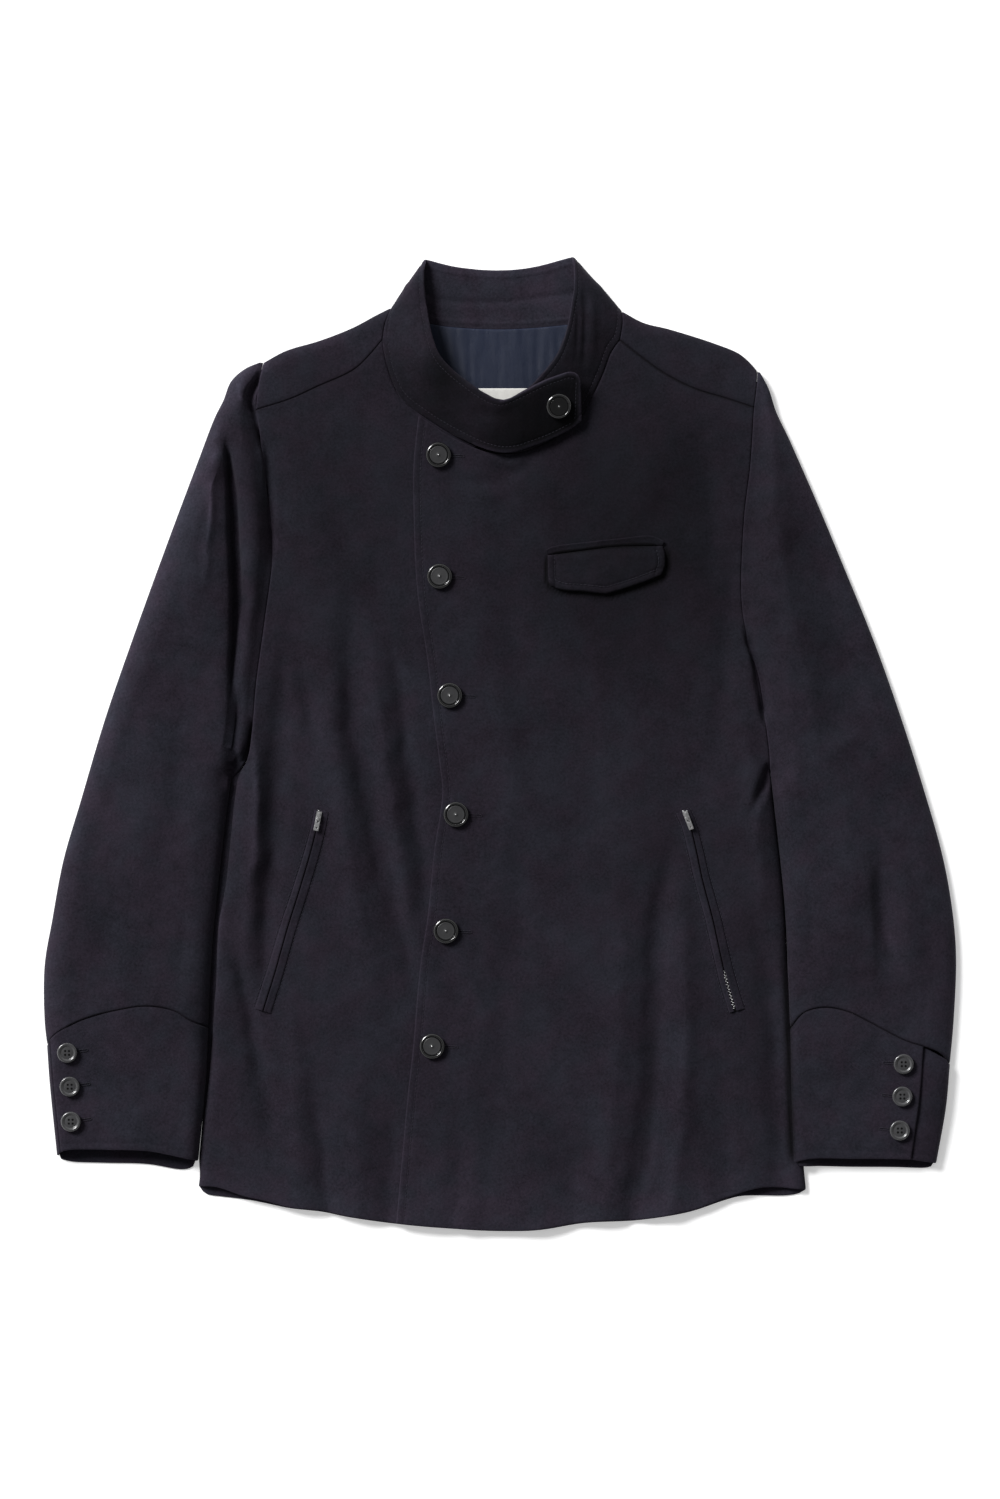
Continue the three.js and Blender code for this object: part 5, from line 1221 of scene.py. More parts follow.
def cuff(side):
    name = side.capitalize()
    seam, hem, outer, inner = (up(part + name) for part in ("cuffSeam", "cuffHem", "cuffOut", "cuffIn"))
    width = np.linalg.norm(seam[0] - seam[-1])
    across, rise, corner, layer, back = cuff_path(width, CUFF[side]["lap"]).T
    height = lengths(outer)[-1]
    top_row, hem_row = stitched(EDGE_WIDTH, CUFF_TOP_STITCH), stitched(EDGE_WIDTH, CUFF_STITCH)
    v = shares([height], top_row, hem_row, 2.6)[0][:, None]
    u = across[None, :] / width
    plan = patch(seam, hem, outer, inner, u, v)
    x, y = plan[..., 0], plan[..., 1]
    floor = BASE[side](x, y)
    level = SLEEVE_HEIGHT + (CUFF_HEIGHT - SLEEVE_HEIGHT) * v - layer * (CUFF_CLOTH + CUFF_LAP_GAP)
    swell = rise ** 4 * (1 - layer) * cuff_swell(x, y)
    z = floor + CUFF_CORNER * (1 - corner) + rise * (level - CUFF_CORNER - floor) + swell
    run = v * height
    z = z - rise ** 2 * groove(height - run, CUFF_STITCH, **CUFF_GROOVE)
    hang = back * (1 - np.abs(2 * u - 1) ** 9)
    y = y - CUFF_SEAM_INSET * (1 - v) - CUFF[side]["longer"] * hang * v
    points = np.dstack([x, y, z])
    normals = facing_up(grid_normals(points, 1), 10, 10)
    ring = run_of(points[len(points) // 2])
    gap = np.minimum(np.minimum(run, height - run), np.minimum(ring, ring[-1] - ring)[None, :])
    drop = edge_drop(gap, EDGE_WIDTH, EDGE_DEPTH * CUFF_CLOTH)
    cloth(f"cuff_{side}", points, normals, CUFF_CLOTH, drop, FABRIC, "shell_cloth", [f"cuff_{side}"],
          rests_on=["floor"], held="folded")


# Collar

COLLAR_TOP = {
    "frontRight": [(9, 273), (23, 284), (36, 298), (46, 312), (53, 332), (58, 362)],
    "foldRight": [(58, 362), (58.5, 378), (58, 389)],
    "back": [(58, 389), (28, 381), (-1, 378), (-37, 381), (-61, 387)],
    "foldLeft": [(-61, 387), (-62, 374), (-60, 352)],
    "frontLeft": [(-60, 352), (-54, 321), (-48, 308), (-40, 299), (-30, 290.5), (-14, 279), (-5, 274.3),
                  (2, 273)],
    "tab": [(2, 273), (7, 274.4), (15, 278.4), (35, 288.8), (47, 293.6), (55, 296), (60.5, 294.5),
            (63.5, 290)],
}
TAB_LOW = [(-20, 237), (-9, 233), (0, 231.3), (11, 232), (19, 234.5), (35, 240), (47, 245.5), (58, 251.5),
           (64.5, 257)]
# Painted shade on the collar's fronts, folds and tab, and painted light on its back, as a change of
# brightness for each part
COLLAR_LIGHT_AND_SHADE = {"frontRight": -0.32, "foldRight": -0.15, "back": 0.45, "foldLeft": -0.1, "frontLeft": -0.4,
               "tab": -0.62}
COLLAR_FOLD_HEIGHT = 2.6
COLLAR_FOLD_WIDTH = 24
COLLAR_SIDE_HEIGHT = 13.4
COLLAR_STITCH = 5.4
COLLAR_GROOVE = {"depth": 0.42, "width": 1.0}
COLLAR_BULGE = 0.9
COLLAR_SWELLS = [(0.5, 42, 31), (0.2, 15, 32)]
# The soft crease across the back of the band: height, place between its edges, width there and band height
BACK_CREASE = {"height": 0.9, "share": 0.47, "width": 2.6, "band": 46}
# Painted highlights along the collar's top edge and round the tab's edges
RIM_SHINE = 0.3
TAB_SHINE = 0.9
SHINE_WIDTH = 2.2
# Distances from the tab's end at which the band is sampled, closest at its rounding and its stitches
TAB_END = (COLLAR_STITCH + 0.9, COLLAR_STITCH, COLLAR_STITCH - 0.9, 3.4, 2.4, 1.5, 1.0, 0.6, 0.3, 0.1, 0.0)
# A column near the tab's end, whose outer face looks up
TAB_COLUMN = -12


def table_at(table, t):
    return np.interp(np.clip(t, 0, 1), np.linspace(0, 1, len(table)), table)


def neck_roll(line):
    """Height of the rolled shoulder edge under the collar's side."""
    gap = np.minimum.reduce([distance(edge, line[:, 0], line[:, 1]) for edge in BODY_EDGES])
    return roll(gap, BODY_ROLL) * BODY_HEIGHT


def between(lows, highs):
    """Lower and upper heights of a collar part, from two tables along it."""
    return lambda t, mm, total: (table_at(lows, t), table_at(highs, t))


def collar_stations():
    rise = COLLAR_SIDE_HEIGHT - COLLAR_FOLD_HEIGHT
    side_fold = lambda mm: COLLAR_FOLD_HEIGHT + rise * roll(mm, COLLAR_FOLD_WIDTH)
    back_fold = lambda mm: COLLAR_FOLD_HEIGHT * (1 - roll(mm, 6))
    pieces = [
        (cut(down("neckOver"), 9, after=True), "frontRight",
         between([7.8, 7.8, 7.8, 7.6, 7.4], [18, 18.6, 18.6, 18, 16.6, 13.4])),
        (up("neckYokeRight"), "foldRight", lambda t, mm, total: (None, side_fold(total - mm))),
        (down("neckBack"), "back", lambda t, mm, total: (0 * t, back_fold(np.minimum(mm, total - mm)))),
        (down("neckYokeLeft"), "foldLeft", lambda t, mm, total: (None, side_fold(mm))),
        (up("neckUnder"), "frontLeft",
         between([7.4, 7.6, 7.8, 8.2, 9.2, 10.8, 12], [13.4, 18, 20.5, 22.4, 24, 25, 25.4])),
        (smooth(TAB_LOW), "tab",
         between([12, 12.9, 13.2, 13.2, 13, 13, 14.4], [25.4, 25.4, 25, 24, 22.6, 20.6])),
    ]
    lows, highs, marks = [], [], []
    for index, (low, key, heights) in enumerate(pieces):
        high = smooth(COLLAR_TOP[key], 1.0)
        total = lengths(high)[-1]
        count = max(10, round(max(total, lengths(low)[-1]) / 2.1))
        t = np.linspace(0, 1, count + 1)
        if key == "back":
            t = 0.5 - 0.5 * np.cos(np.pi * t) * (0.6 + 0.4 * np.abs(np.cos(np.pi * t)))
        low_xy, high_xy = pick(low, t), pick(high, t)
        low_z, high_z = heights(t, t * total, total)
        low_z = neck_roll(low_xy) if low_z is None else low_z
        take = slice(1 if index else 0, None)
        lows.append(np.column_stack([low_xy, low_z])[take])
        highs.append(np.column_stack([high_xy, high_z])[take])
        marks += [key] * len(lows[-1])
    return np.vstack(lows), np.vstack(highs), np.array(marks)


def averaged(values, reach):
    """Running mean over `reach` neighbours on each side, as a row."""
    span = 2 * reach + 1
    return np.convolve(np.pad(values, reach, mode="edge"), np.ones(span) / span, mode="valid")[None, :]


def collar():
    low, high, marks = collar_stations()
    run = run_of((low + high) / 2)
    height = np.linalg.norm(high - low, axis=1)
    w = shares(height, stitched(EDGE_WIDTH, COLLAR_STITCH), stitched(EDGE_WIDTH, COLLAR_STITCH), 2.2)
    ww = w.T[..., None]
    points = (1 - ww) * low[None] + ww * high[None]
    before_end = run[run < run[-1] - COLLAR_STITCH - 2]
    wanted = np.unique(np.concatenate([before_end, run[-1] - np.array(TAB_END), SEAM]))
    points = np.stack([interpolated(wanted, run, row) for row in points])
    mark = marks[np.clip(np.searchsorted(run, wanted), 0, len(marks) - 1)]
    from_low = run_along(points, 0)
    from_high = from_low[-1] - from_low
    to_end = (wanted[-1] - wanted)[None, :]
    middle = len(points) // 2
    normals = soften(facing_up(grid_normals(points, 1), middle, TAB_COLUMN))
    share = from_low / from_low[-1]
    fade = np.sin(np.pi * share)
    back = averaged(np.isin(mark, ["back"]).astype(float), 6)
    sunk_at = lambda gap: groove(gap, COLLAR_STITCH, **COLLAR_GROOVE)
    sunk = sunk_at(from_low) + sunk_at(from_high) + sunk_at(to_end) * (to_end < 14)
    bulge = COLLAR_BULGE * fade * (1 - 1.2 * back)
    x, y = points[..., 0], points[..., 1]
    broad, fine = COLLAR_SWELLS
    uneven = (swells(x + 3 * points[..., 2], y, [broad]) + swells(x, y, [fine])) * fade ** 0.5
    points = points + normals * (bulge - sunk + uneven * (1 - 0.6 * back))[..., None]
    off = (share - BACK_CREASE["share"] - 0.03 * np.sin(x / 26)) * BACK_CREASE["band"] / BACK_CREASE["width"]
    crease = BACK_CREASE["height"] * np.exp(-off ** 2) * back
    folds = crease_height(COLLAR_LINES, x, y, 2.0, wander=0) * fade ** 0.3
    points = points + normals * (crease + folds)[..., None]
    normals = facing_up(soften(grid_normals(points, 1)), middle, TAB_COLUMN)
    start = (wanted - wanted[0])[None, :]
    gap = np.minimum(np.minimum(from_low, from_high), np.minimum(to_end, start))
    drop = edge_drop(gap, EDGE_WIDTH, EDGE_DEPTH * COLLAR_CLOTH)
    # Painted light and shade over the collar, with painted highlights on its top edge and tab rim
    tone = averaged(np.array([COLLAR_LIGHT_AND_SHADE[key] for key in mark]), 4)
    on_tab = tone < -0.45
    rim = (np.exp(-(from_high / SHINE_WIDTH) ** 2) * RIM_SHINE
           + np.exp(-(gap / SHINE_WIDTH) ** 2) * TAB_SHINE * on_tab)
    cloth("collar", points, normals, COLLAR_CLOTH, drop, FABRIC, "shell_cloth", ["collar"], tone=tone + rim,
          rests_on=["yoke_left", "yoke_right", "front_over"], held="folded")
    return points, normals, from_low, from_high, wanted, mark


def soften(normals):
    """Normals averaged with their neighbours along the band, so that tight turns keep an even thickness."""
    for _ in range(3):
        wide = np.pad(normals, ((0, 0), (1, 1), (0, 0)), mode="edge")
        normals = wide[:, :-2] + 2 * wide[:, 1:-1] + wide[:, 2:]
        normals /= np.linalg.norm(normals, axis=2)[..., None] + 1e-12
    return normals


def band_row(points, normals, measure, offset, lift, first, last):
    """Path over a band at a set distance from one of its long edges."""
    path, ups = [], []
    for i in range(first, last):
        order = np.argsort(measure[:, i])
        for grid, found in ((points, path), (normals, ups)):
            found.append(interpolated(offset, measure[order, i], grid[order, i]))
    ups = np.array(ups)
    ups /= np.linalg.norm(ups, axis=1)[:, None]
    return np.array(path) + lift * ups, ups


# Lining and label

LINING_LEVEL = 2.0 + 0.3 + 0.8
LABEL_CLOTH = 0.5
LINING_BOX = {"x": 60, "low": 240}
LABEL_BOX = {"left": -18, "right": 24, "top": 283.5, "bottom": 262}


def lining_top(x, y):
    wide = 0.12 * (1 + np.sin(x / 5.5 + 0.4 * np.sin(y / 17))) * (1 + 0.4 * np.sin(x / 13))
    fine = 0.14 * waves(3 * x, 0.35 * y, 26, 41) + 0.07 * waves(3 * x, 0.5 * y, 13, 42)
    return LINING_LEVEL - 0.2 + wide + fine


def lining_and_label():
    neck = moved(CURVE["neckBack"], 0.7)
    neck = neck[np.abs(neck[:, 0]) <= LINING_BOX["x"]]
    low = np.array([(neck[0, 0], LINING_BOX["low"]), (neck[-1, 0], LINING_BOX["low"])])
    ends = ends_of(turned(1.0))
    panel("lining", (low, neck, np.array([low[0], neck[0]]), np.array([low[1], neck[-1]])), lining_top,
          thickness=LINING_CLOTH, spacing=1.3, ends=ends, rounded=[neck], material=SATIN, slot="lining",
          rests_on=["back_panel"])
    box = LABEL_BOX
    row = lambda y: np.array([(box["left"], y), (box["right"], y)], float)
    column = lambda x: np.array([(x, box["bottom"]), (x, box["top"])], float)
    edges = (row(box["bottom"]), row(box["top"]), column(box["left"]), column(box["right"]))
    height = lambda x, y: 0.5 * lining_top(x, y) + 0.5 * (LINING_LEVEL + 0.9) + 0.85
    panel("label", edges, height, thickness=LABEL_CLOTH, spacing=1.2, ends=ends, rounded=list(edges),
          material=LABEL, slot="label", rests_on=["lining"])


# Chest pocket

FLAP = {
    "top": [(37, 150), (67, 154), (95, 157), (129, 157.5)],
    "lowLeft": [(38, 127), (48, 122.5), (66, 121), (84, 119)],
    "lowRight": [(84, 119), (104, 125), (128, 134)],
    "right": [(128, 134), (131, 141), (131, 150), (129, 157.5)],
}
WELT_TOP = [(36, 154.5), (41, 157), (67, 160.5), (95, 163.5), (120, 165.5), (130, 161.5)]
ON_CLOTH = 0.35
WELT_RISE = 1.5
WELT_CLOTH = 1.2
FLAP_AIR = 1.0
FLAP_STITCH = 5.4
FLAP_EDGE = 1.3


def chest_pocket():
    top, right = smooth(FLAP["top"]), smooth(FLAP["right"])
    low = join(smooth(FLAP["lowLeft"]), smooth(FLAP["lowRight"]))
    left = np.array([low[0], top[0]])
    edge = turned(FLAP_EDGE)
    bump_at = lambda x, y: 0.8 * np.exp(-((x - 85) ** 2 + (y - 140) ** 2) / 14)
    flap_top = lambda x, y: (over_top(x, y) + FLAP_AIR + FLAP_CLOTH + bump_at(x, y)
                             - 1.2 * smoothstep(y, 148, 156) + 0.7 * smoothstep(150 - y, 4, 30)
                             + 0.2 * waves(x, y, 16, 51))
    panel("chest_flap", (low, top, left, right), flap_top, thickness=FLAP_CLOTH, spacing=1.8,
          ends=ends_of(stitched(FLAP_EDGE, FLAP_STITCH), top=edge), rounded=[low, top, left, right],
          stitches=[(line, FLAP_STITCH) for line in (low, left, right)] * 2, rests_on=["front_over"])
    base, high = moved(top, 0.4), smooth(WELT_TOP)
    welt_top = lambda x, y: (over_top(x, y) + ON_CLOTH + WELT_RISE + 0.2 * waves(x, y, 12, 52)
                             + 0.9 * np.exp(-(distance(high, x, y) / 2.2) ** 2))
    panel("chest_welt", (base, high, np.array([base[0], high[0]]), np.array([base[-1], high[-1]])), welt_top,
          thickness=WELT_CLOTH, spacing=1.5, ends=ends_of(edge), rounded=[base, high],
          part_of="front_over_cloth")
    inner = offset_inside(join(left[::-1], low, right), top, FLAP_STITCH)
    return [surface_points(flap_top, inner, 0.0)]


def offset_inside(outline, top, amount):
    """A line that runs inside the flap's left, lower and right edges."""
    line = smooth(pick(outline, np.linspace(0, 1, 60)), 1.0)
    inner = moved(line, amount)
    gap = distance(outline, inner[:, 0], inner[:, 1])
    below = inner[:, 1] < np.interp(inner[:, 0], top[:, 0], top[:, 1]) - 1.5
    return inner[(gap > amount - 0.35) & below]


# Hand pockets

# Width of the pocket's two lips at the top and the bottom of the slit, first the lip towards -X
JET_WIDTH = {"left": ((4.2, 7.2), (7.0, 6.2)), "right": ((6.8, 5.0), (4.6, 7.6))}
TEETH_SPAN = {"left": [(0.0, 0.075)], "right": [(0.0, 0.06), (0.80, 0.985)]}
SLIT = 0.3
JET_CLOTH = 0.9
TAPE_CLOTH = 0.6
TAPE_LIFT = 0.2
TAPE_HALF = 2.2
TOOTH = [(-0.33, -0.2), (0.33, -0.2), (0.42, 1.1), (-0.42, 1.1)]
TOOTH_HALF_HEIGHT = 0.35
TOOTH_PITCH = 1.3
TOOTH_BEVEL = 0.12


def strip(name, line, inner_gap, outer_gap, top, lift, thickness, **settings):
    """A narrow band that lies along a line on the cloth, between two sideways distances."""
    a, b = moved(line, inner_gap), moved(line, outer_gap)
    height = lambda x, y: top(x, y) + lift(x, y) + thickness
    panel(name, (a, b, np.array([a[0], b[0]]), np.array([a[-1], b[-1]])), height, thickness=thickness,
          spacing=1.6, ends=ends_of(turned(0.7)), rounded=[a, b], **settings)


def zip_teeth(name, line, top, span):
    """Two interlocked rows of small metal teeth along the part of the line between two fractions."""
    count = int((span[1] - span[0]) * lengths(line)[-1] / TOOTH_PITCH)
    path, normals = surface_points(top, pick(line, np.linspace(*span, count)), 1.0)
    ahead = np.gradient(path, axis=0)
    ahead /= np.linalg.norm(ahead, axis=1)[:, None]
    side = np.cross(normals, ahead)
    shape = np.array([(x, y, z) for z in (-TOOTH_HALF_HEIGHT, TOOTH_HALF_HEIGHT) for x, y in TOOTH])
    box = np.array([(0, 3, 2, 1), (4, 5, 6, 7), (0, 1, 5, 4), (1, 2, 6, 5), (2, 3, 7, 6), (3, 0, 4, 7)])
    verts, faces = [], []
    for k in range(count):
        sign = 1 if k % 2 else -1
        local = shape * np.array([sign, sign, 1])
        verts.append(path[k] + local[:, :1] * ahead[k] + local[:, 1:2] * side[k] + local[:, 2:] * normals[k])
        faces.append(box + 8 * k)
    made = piece(name, new_mesh(name, np.concatenate(verts), np.concatenate(faces)), METAL)
    bevel = made.modifiers.new("soft_edges", "BEVEL")
    bevel.width = TOOTH_BEVEL * MM
    bevel.segments = 2


def hand_pockets():
    rows = []
    for side, points in ZIP.items():
        line = smooth(points)
        top = body_top if side == "left" else over_top
        front = "front_under_cloth" if side == "left" else "front_over_cloth"
        strip(f"zip_{side}", line, -TAPE_HALF, TAPE_HALF, top, lambda x, y: TAPE_LIFT, TAPE_CLOTH,
              material=TAPE, slot="zip_tape", part_of=front)
        for index, span in enumerate(TEETH_SPAN[side]):
            zip_teeth(f"zip_teeth_{side}_{index + 1}", line, top, span)
        part = pick(line, np.linspace(0.0, 1.0, 90))
        s = lengths(part) / lengths(part)[-1]
        slit = SLIT + 1.0 * (1 - smoothstep(s, 0.05, 0.1))
        if side == "right":
            slit = slit + 1.0 * smoothstep(s, 0.79, 0.83)
        lift = lambda x, y: 1.1 * np.exp(-np.maximum(0, distance(line, x, y) - 1.0) / 3.0)
        borders = []
        for sign, widths, label in zip((-1, 1), JET_WIDTH[side], "ab"):
            width = np.interp(s, [0, 1], widths)
            strip(f"pocket_jet_{side}_{label}", part, sign * slit, sign * width, top, lift, JET_CLOTH,
                  nodes=[], part_of=front)
            borders.append(moved(part, sign * (width + 1.0)))
        ring = np.vstack([borders[1], borders[0][::-1], borders[1][:1]])
        ring = pick(ring, np.linspace(0, 1, 360))
        rows.append(surface_points(top, ring, 0.1))
    return rows


# Buttons

BUTTON_DIAMETER = 20
CUFF_BUTTON_DIAMETER = 16
BUTTON_LIFT = 0.7
FRONT_BUTTONS = [(-50, 230), (-49, 133), (-41, 38), (-36, -57), (-44, -150), (-55, -242)]
CUFF_BUTTONS = {
    "left": [(-346, -247), (-344, -274), (-343, -302)],
    "right": [(321, -256), (320, -282), (318, -309)],
}
TAB_BUTTON = (45, 268)
HOLE_DIAMETER = 1.8
HOLE_SPREAD = 0.19
HOLE_LEVEL = 0.262
SEAT_SHARE = 0.42
BUTTONHOLE_HALF = 0.8
BUTTONHOLE_SEED = 40
# Profiles of the turned parts: radius and height, both as shares of the button's radius
RIM = [(0, 0), (0.8, 0), (0.9, 0.03), (0.965, 0.08), (0.995, 0.15), (1, 0.21), (0.99, 0.255),
       (0.965, 0.285), (0.93, 0.31), (0.895, 0.333), (0.865, 0.343), (0.835, 0.336), (0.81, 0.315),
       (0.78, 0.275), (0.76, 0.235), (0.74, 0.215), (0.72, 0.22), (0.71, 0.235), (0.7, 0.25), (0, 0.24)]
DISC = [(0, 0.2), (0.68, 0.2), (0.7, 0.25), (0.685, 0.268), (0.66, 0.276), (0.63, 0.27), (0.5, 0.272),
        (0.25, 0.28), (0.1, 0.282), (0.085, 0.295), (0.06, 0.31), (0.03, 0.316), (0, 0.317)]
PIN = [(0, 0.3), (0.045, 0.305), (0.055, 0.325), (0.035, 0.345), (0, 0.35)]
SHANK = [(0, -0.12), (0.16, -0.12), (0.14, 0.0), (0.14, 0.06), (0, 0.06)]
CUFF_RIM = [(0, 0), (0.8, 0), (0.92, 0.04), (0.98, 0.12), (1, 0.22), (0.98, 0.3), (0.92, 0.35),
            (0.84, 0.362), (0.77, 0.345), (0.72, 0.3), (0.68, 0.25), (0.64, 0.225), (0.58, 0.23),
            (0.5, 0.25), (0.36, 0.262), (0.18, 0.27), (0, 0.272)]
CUFF_SHANK = [(0, -0.15), (0.2, -0.15), (0.16, 0.0), (0.16, 0.06), (0, 0.06)]
HOLE_SHAPE = [(0, -0.5), (1, -0.5), (1, 0.1), (0.8, 0.14), (0, 0.1)]


def button_axes(normal):
    """Two directions across a button that stands along normal."""
    side = np.cross(normal, [0.0, 1.0, 0.0])
    side /= np.linalg.norm(side)
    return side, np.cross(normal, side)


def lathe_piece(name, profile, diameter, foot, normal, material, nodes=(), segments=64):
    """A turned solid that stands on foot along normal."""
    radius = diameter / 2
    normal = normal / np.linalg.norm(normal)
    side, third = button_axes(normal)
    angles = np.arange(segments) * 2 * math.pi / segments
    across = np.cos(angles)[:, None] * side + np.sin(angles)[:, None] * third
    rings = [foot + normal * z * radius + max(r, 0.004) * radius * across for r, z in profile]
    at = np.arange(len(profile) * segments).reshape(-1, segments)
    after = np.roll(at, -1, axis=1)
    faces = np.stack([at[:-1], after[:-1], after[1:], at[1:]], axis=-1).reshape(-1, 4)
    mesh = new_mesh(name, np.concatenate(rings), [faces[:, ::-1], at[:1], at[-1:, ::-1]])
    piece(name, mesh, material, nodes=nodes)


def seat(top, spot, diameter):
    """Foot and normal of a button on the highest cloth under it."""
    radius = SEAT_SHARE * diameter
    x, y = np.array([float(spot[0])]), np.array([float(spot[1])])
    dx = (top(x + radius, y) - top(x - radius, y)) / (2 * radius)
    dy = (top(x, y + radius) - top(x, y - radius)) / (2 * radius)
    normal = np.array([-dx[0], -dy[0], 1.0])
    normal /= np.linalg.norm(normal)
    foot = np.array([x[0], y[0], top(x, y)[0]])
    angles = np.linspace(0, 2 * math.pi, 17)
    ring_x, ring_y = x + radius * np.cos(angles), y + radius * np.sin(angles)
    over = (np.column_stack([ring_x, ring_y, top(ring_x, ring_y)]) - foot) @ normal
    return foot + normal * max(0.0, over.max()), normal


def front_button(name, foot, normal, disc_finish=GREY_DISC):
    place = (BUTTON_DIAMETER, foot + normal * BUTTON_LIFT, normal)
    lathe_piece(f"{name}_rim", RIM, *place, GLOSS, [name])
    lathe_piece(f"{name}_disc", DISC, *place, disc_finish)
    lathe_piece(f"{name}_pin", PIN, *place, METAL)
    lathe_piece(f"{name}_shank", SHANK, *place, THREAD)


def cuff_button(name, foot, normal):
    foot = foot + normal * BUTTON_LIFT
    place = (CUFF_BUTTON_DIAMETER, foot, normal)
    lathe_piece(f"{name}_body", CUFF_RIM, *place, CUFF_GREY, [name])
    lathe_piece(f"{name}_shank", CUFF_SHANK, *place, THREAD)
    side, third = button_axes(normal)
    radius = CUFF_BUTTON_DIAMETER / 2
    for index, (a, b) in enumerate(((-1, -1), (1, -1), (-1, 1), (1, 1))):
        spot = foot + normal * HOLE_LEVEL * radius + HOLE_SPREAD * radius * (a * side + b * third)
        lathe_piece(f"{name}_hole_{index + 1}", HOLE_SHAPE, HOLE_DIAMETER, spot, normal, HOLE)


def cuff_top(side):
    name = side.capitalize()

    def height(x, y):
        o, i = x_at(CURVE["cuffOut" + name], y), x_at(CURVE["cuffIn" + name], y)
        floor = BASE[side](x, y)
        v = np.clip((-y - 238) / (330 - 238), 0, 1)
        full = SLEEVE_HEIGHT + (CUFF_HEIGHT - SLEEVE_HEIGHT) * v
        rise = roll(np.minimum(np.abs(x - o), np.abs(x - i)), CUFF_ROLL)
        return floor + CUFF_CORNER + rise * (full - CUFF_CORNER - floor) + rise ** 4 * cuff_swell(x, y)

    return height


def buttonhole(top, spot, angle, length):
    """Paths of close stitches round a slit that starts beside a button."""
    start = np.array([math.cos(angle), math.sin(angle)])
    side = np.array([-start[1], start[0]])
    a = np.array(spot, float)
    t = np.linspace(0, 1, 30)[:, None]
    upper = a + start * length * t + side * BUTTONHOLE_HALF
    lower = a + start * length * (1 - t) - side * BUTTONHOLE_HALF
    turn = np.linspace(math.pi / 2, -math.pi / 2, 9)[1:-1]
    out = np.cos(turn)[:, None] * start + np.sin(turn)[:, None] * side
    end = a + start * length + BUTTONHOLE_HALF * out
    return surface_points(top, np.vstack([upper, end, lower]), 0.12)


def all_buttons(band, band_normals):
    for index, spot in enumerate(FRONT_BUTTONS):
        front_button(f"front_button_{index + 1}", *seat(over_top, spot, BUTTON_DIAMETER))
    for side, spots in CUFF_BUTTONS.items():
        for index, spot in enumerate(spots):
            cuff_button(f"cuff_button_{side}_{index + 1}", *seat(cuff_top(side), spot, CUFF_BUTTON_DIAMETER))
    gap = np.hypot(band[..., 0] - TAB_BUTTON[0], band[..., 1] - TAB_BUTTON[1])
    gap[:, : band.shape[1] // 2] = np.inf
    j, i = np.unravel_index(np.argmin(gap), gap.shape)
    normal = band_normals[j, i]
    front_button("tab_button", band[j, i] - normal * 0.2, normal, disc_finish=GLOSS)
    front = [buttonhole(over_top, (x + 9.4, y - 0.5), -0.05, 10.5) for x, y in FRONT_BUTTONS]
    left = [buttonhole(cuff_top("left"), (x + 7.4, y + 1.0), 0.12, 8) for x, y in CUFF_BUTTONS["left"]]
    right = [buttonhole(cuff_top("right"), (x - 7.4, y + 0.5), math.pi - 0.08, 8)
             for x, y in CUFF_BUTTONS["right"]]
    for name, holes in (("front_buttonholes", front), ("cuff_buttonholes", left + right)):
        stitches_piece(name, holes, BUTTONHOLE_STITCH, BUTTONHOLE_SEED)


# Zip sliders and pulls

WELD_DISTANCE = 0.02
METAL_BEVEL = 0.22


def finer_copy(node, name, body):
    """A copy of a metal solid with softened edges."""
    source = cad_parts[node]
    mesh = source.data.copy()
    mesh.materials.clear()
    made = bpy.data.objects.new(name, mesh)
    made.matrix_world = source.matrix_world.copy()
    bpy.context.scene.collection.objects.link(made)
    mesh.materials.append(METAL)
    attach(made, body)
    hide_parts(node)
    weld = made.modifiers.new("weld", "WELD")
    weld.merge_threshold = WELD_DISTANCE * MM
    bevel = made.modifiers.new("soft_edges", "BEVEL")
    bevel.width = METAL_BEVEL * MM
    bevel.segments = 3
    bevel.limit_method = "ANGLE"


# Building

# Height on the collar's inside of its second row of stitches, and how much lighter that thread is painted, as
# a painted highlight
INNER_ROW = 24.5
INNER_ROW_HIGHLIGHT = 2.5

back_panel()
body_panels()
sleeves()
for cuff_side in ("left", "right"):
    cuff(cuff_side)
band, band_normals, from_low, from_high, wanted, mark = collar()
lining_and_label()
flap_rows = chest_pocket()
pocket_rows = hand_pockets()
all_buttons(band, band_normals)
for zip_side in ("left", "right"):
    finer_copy(f"zip_slider_{zip_side}", f"slider_{zip_side}", "jacket")
    finer_copy(f"zip_pull_{zip_side}", f"pull_{zip_side}", f"zip_pull_{zip_side}")

placket_row = surface_points(over_top, moved(CURVE["placket"], -TOPSTITCH)[3:-3], -0.12)
end_at = int(np.argmax(wanted > wanted[-1] - COLLAR_STITCH))
collar_rows = [
    band_row(band, band_normals, measure, COLLAR_STITCH, 0.05, 3, end_at) for measure in (from_low, from_high)
]
inside_rows = (from_low[:, end_at] > COLLAR_STITCH) & (from_high[:, end_at] > COLLAR_STITCH)
collar_rows.append((band[inside_rows, end_at], band_normals[inside_rows, end_at]))
behind = np.flatnonzero(mark == "back")
inner_row = band_row(band, band_normals, from_low, INNER_ROW, 0.1, behind[0] + 3, behind[-1] - 3)
stitches_piece("placket_stitches", [placket_row])
stitches_piece("collar_inner_stitches", [inner_row], tone=INNER_ROW_HIGHLIGHT)
stitches_piece("collar_stitches", collar_rows)
stitches_piece("pocket_stitches", flap_rows + pocket_rows)

for made, points, facts in SHEETS:
    width, length, area = sheet_size(points)
    facts.setdefault("held", "laid")
    facts["rests_on"] = [f"{below}_cloth" if below != "floor" else below for below in facts["rests_on"]]

# Floor, light and camera

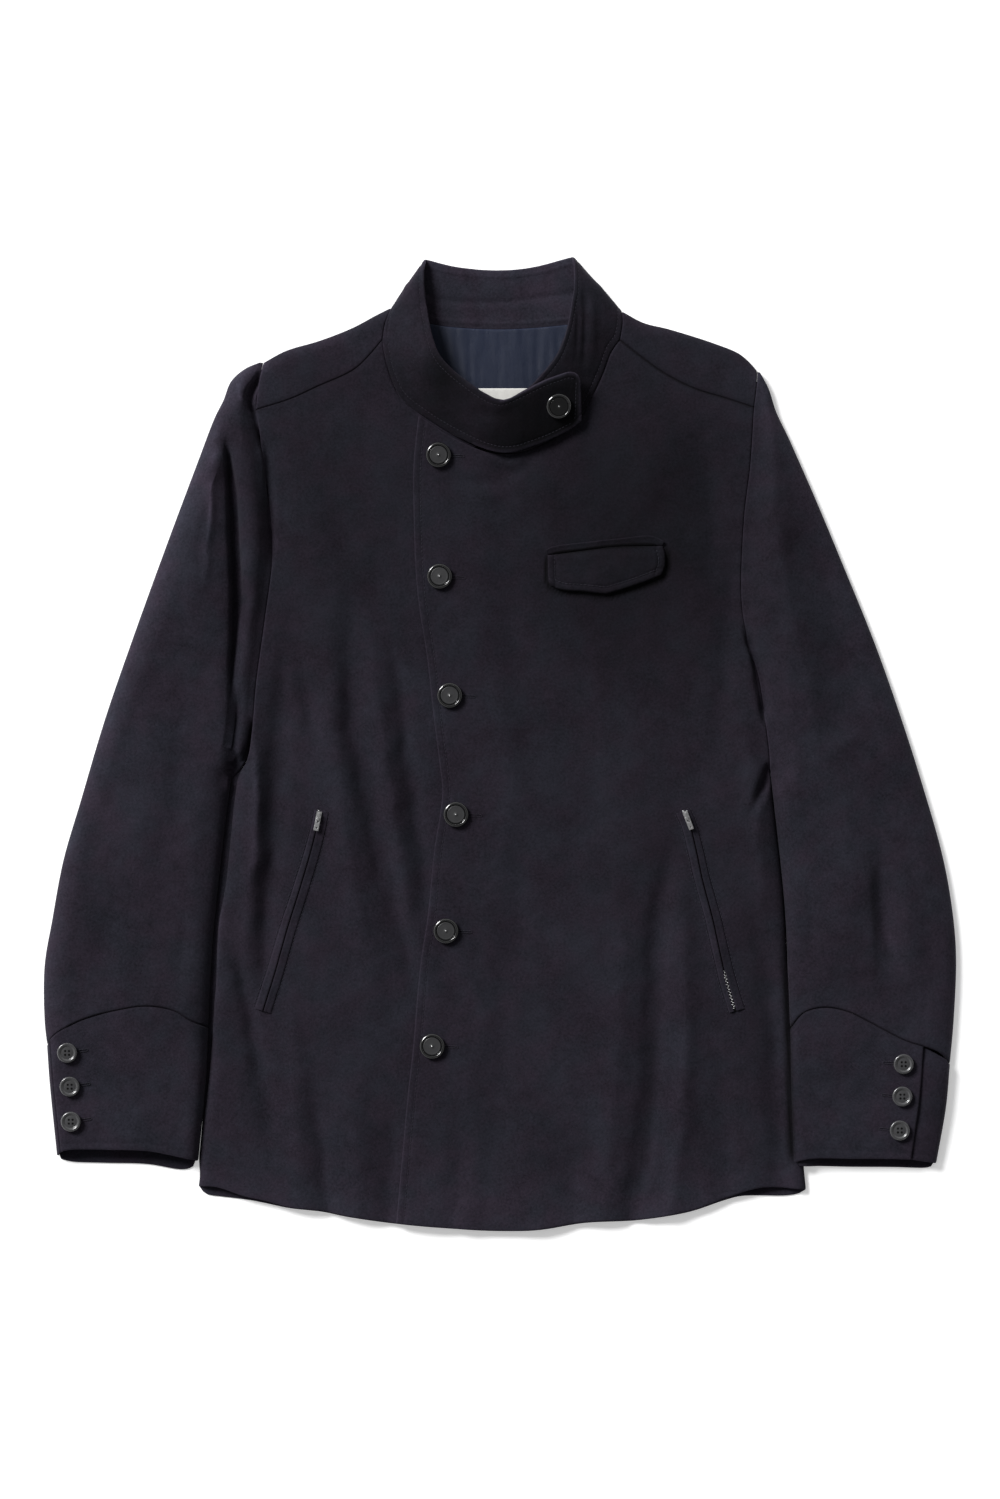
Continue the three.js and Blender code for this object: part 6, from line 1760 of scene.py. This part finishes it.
FLOOR_SIZE = 4000
FLOOR_GLOW = 0.35
SUN = {"towards": (-1.0, 0.9, 0.92), "spread": 22, "power": 4.3}
PICTURE_CENTRE = (-0.0008, -0.0052)
CAMERA_HEIGHT = 5.0
VIEW_HEIGHT = 1.1992
SENSOR = 36.0


def lay_floor():
    half = FLOOR_SIZE / 2
    corners = np.array([(-half, -half, 0), (half, -half, 0), (half, half, 0), (-half, half, 0)])
    mesh = new_mesh("floor", corners, np.array([[0, 1, 2, 3]]))
    made = bpy.data.objects.new("floor", mesh)
    bpy.context.scene.collection.objects.link(made)
    material, tree, shader = node_material("pale_floor")
    tone = noise(tree, add_node(tree, "ShaderNodeTexCoord").outputs["Object"], 3.0)
    set_inputs(tree, shader, {
        "Base Color": mix_colour(tree, tone, (0.95, 0.95, 0.95, 1), (0.935, 0.935, 0.94, 1)),
        "Roughness": 0.9, "Emission Color": PLAIN, "Emission Strength": FLOOR_GLOW,
    })
    mesh.materials.append(material)


def sun_light(name, towards, spread, power):
    """Even light from a far, wide source in the given direction; spread in degrees."""
    light = bpy.data.lights.new(name, "SUN")
    light.angle = math.radians(spread)
    light.energy = power
    made = bpy.data.objects.new(name, light)
    made.rotation_euler = Vector(towards).to_track_quat("Z", "Y").to_euler()
    bpy.context.scene.collection.objects.link(made)


def studio_world():
    """Light from all round: brightest low down and towards the upper left, dim overhead."""
    world = bpy.data.worlds.new("studio")
    world.use_nodes = True
    tree = world.node_tree
    way = add_node(tree, "ShaderNodeTexCoord").outputs["Generated"]
    axes = add_node(tree, "ShaderNodeSeparateXYZ", {"Vector": way}).outputs
    height = math_node(tree, "MAXIMUM", axes["Z"], 0.0)
    low = math_node(tree, "POWER", math_node(tree, "SUBTRACT", 1.0, height), 1.5)
    glow = math_node(tree, "ADD", math_node(tree, "MULTIPLY", low, 0.75), 0.12)
    lean = math_node(tree, "ADD", math_node(tree, "MULTIPLY", axes["X"], -0.37),
                     math_node(tree, "MULTIPLY", axes["Y"], 0.33))
    strength = math_node(tree, "MULTIPLY", glow, math_node(tree, "ADD", lean, 1.0))
    set_inputs(tree, tree.nodes["Background"], {"Color": PLAIN, "Strength": strength})
    bpy.context.scene.world = world


lay_floor()
sun_light("key", **SUN)
studio_world()

camera = bpy.data.cameras.new("camera")
camera.sensor_width = SENSOR
camera.lens = SENSOR * CAMERA_HEIGHT / VIEW_HEIGHT
camera_object = bpy.data.objects.new("camera", camera)
camera_object.location = (*PICTURE_CENTRE, CAMERA_HEIGHT)
bpy.context.scene.collection.objects.link(camera_object)
scene = bpy.context.scene
scene.camera = camera_object
scene.view_settings.view_transform = "Standard"

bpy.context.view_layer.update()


def plain(box):
    return [[float(value) for value in corner] for corner in box]
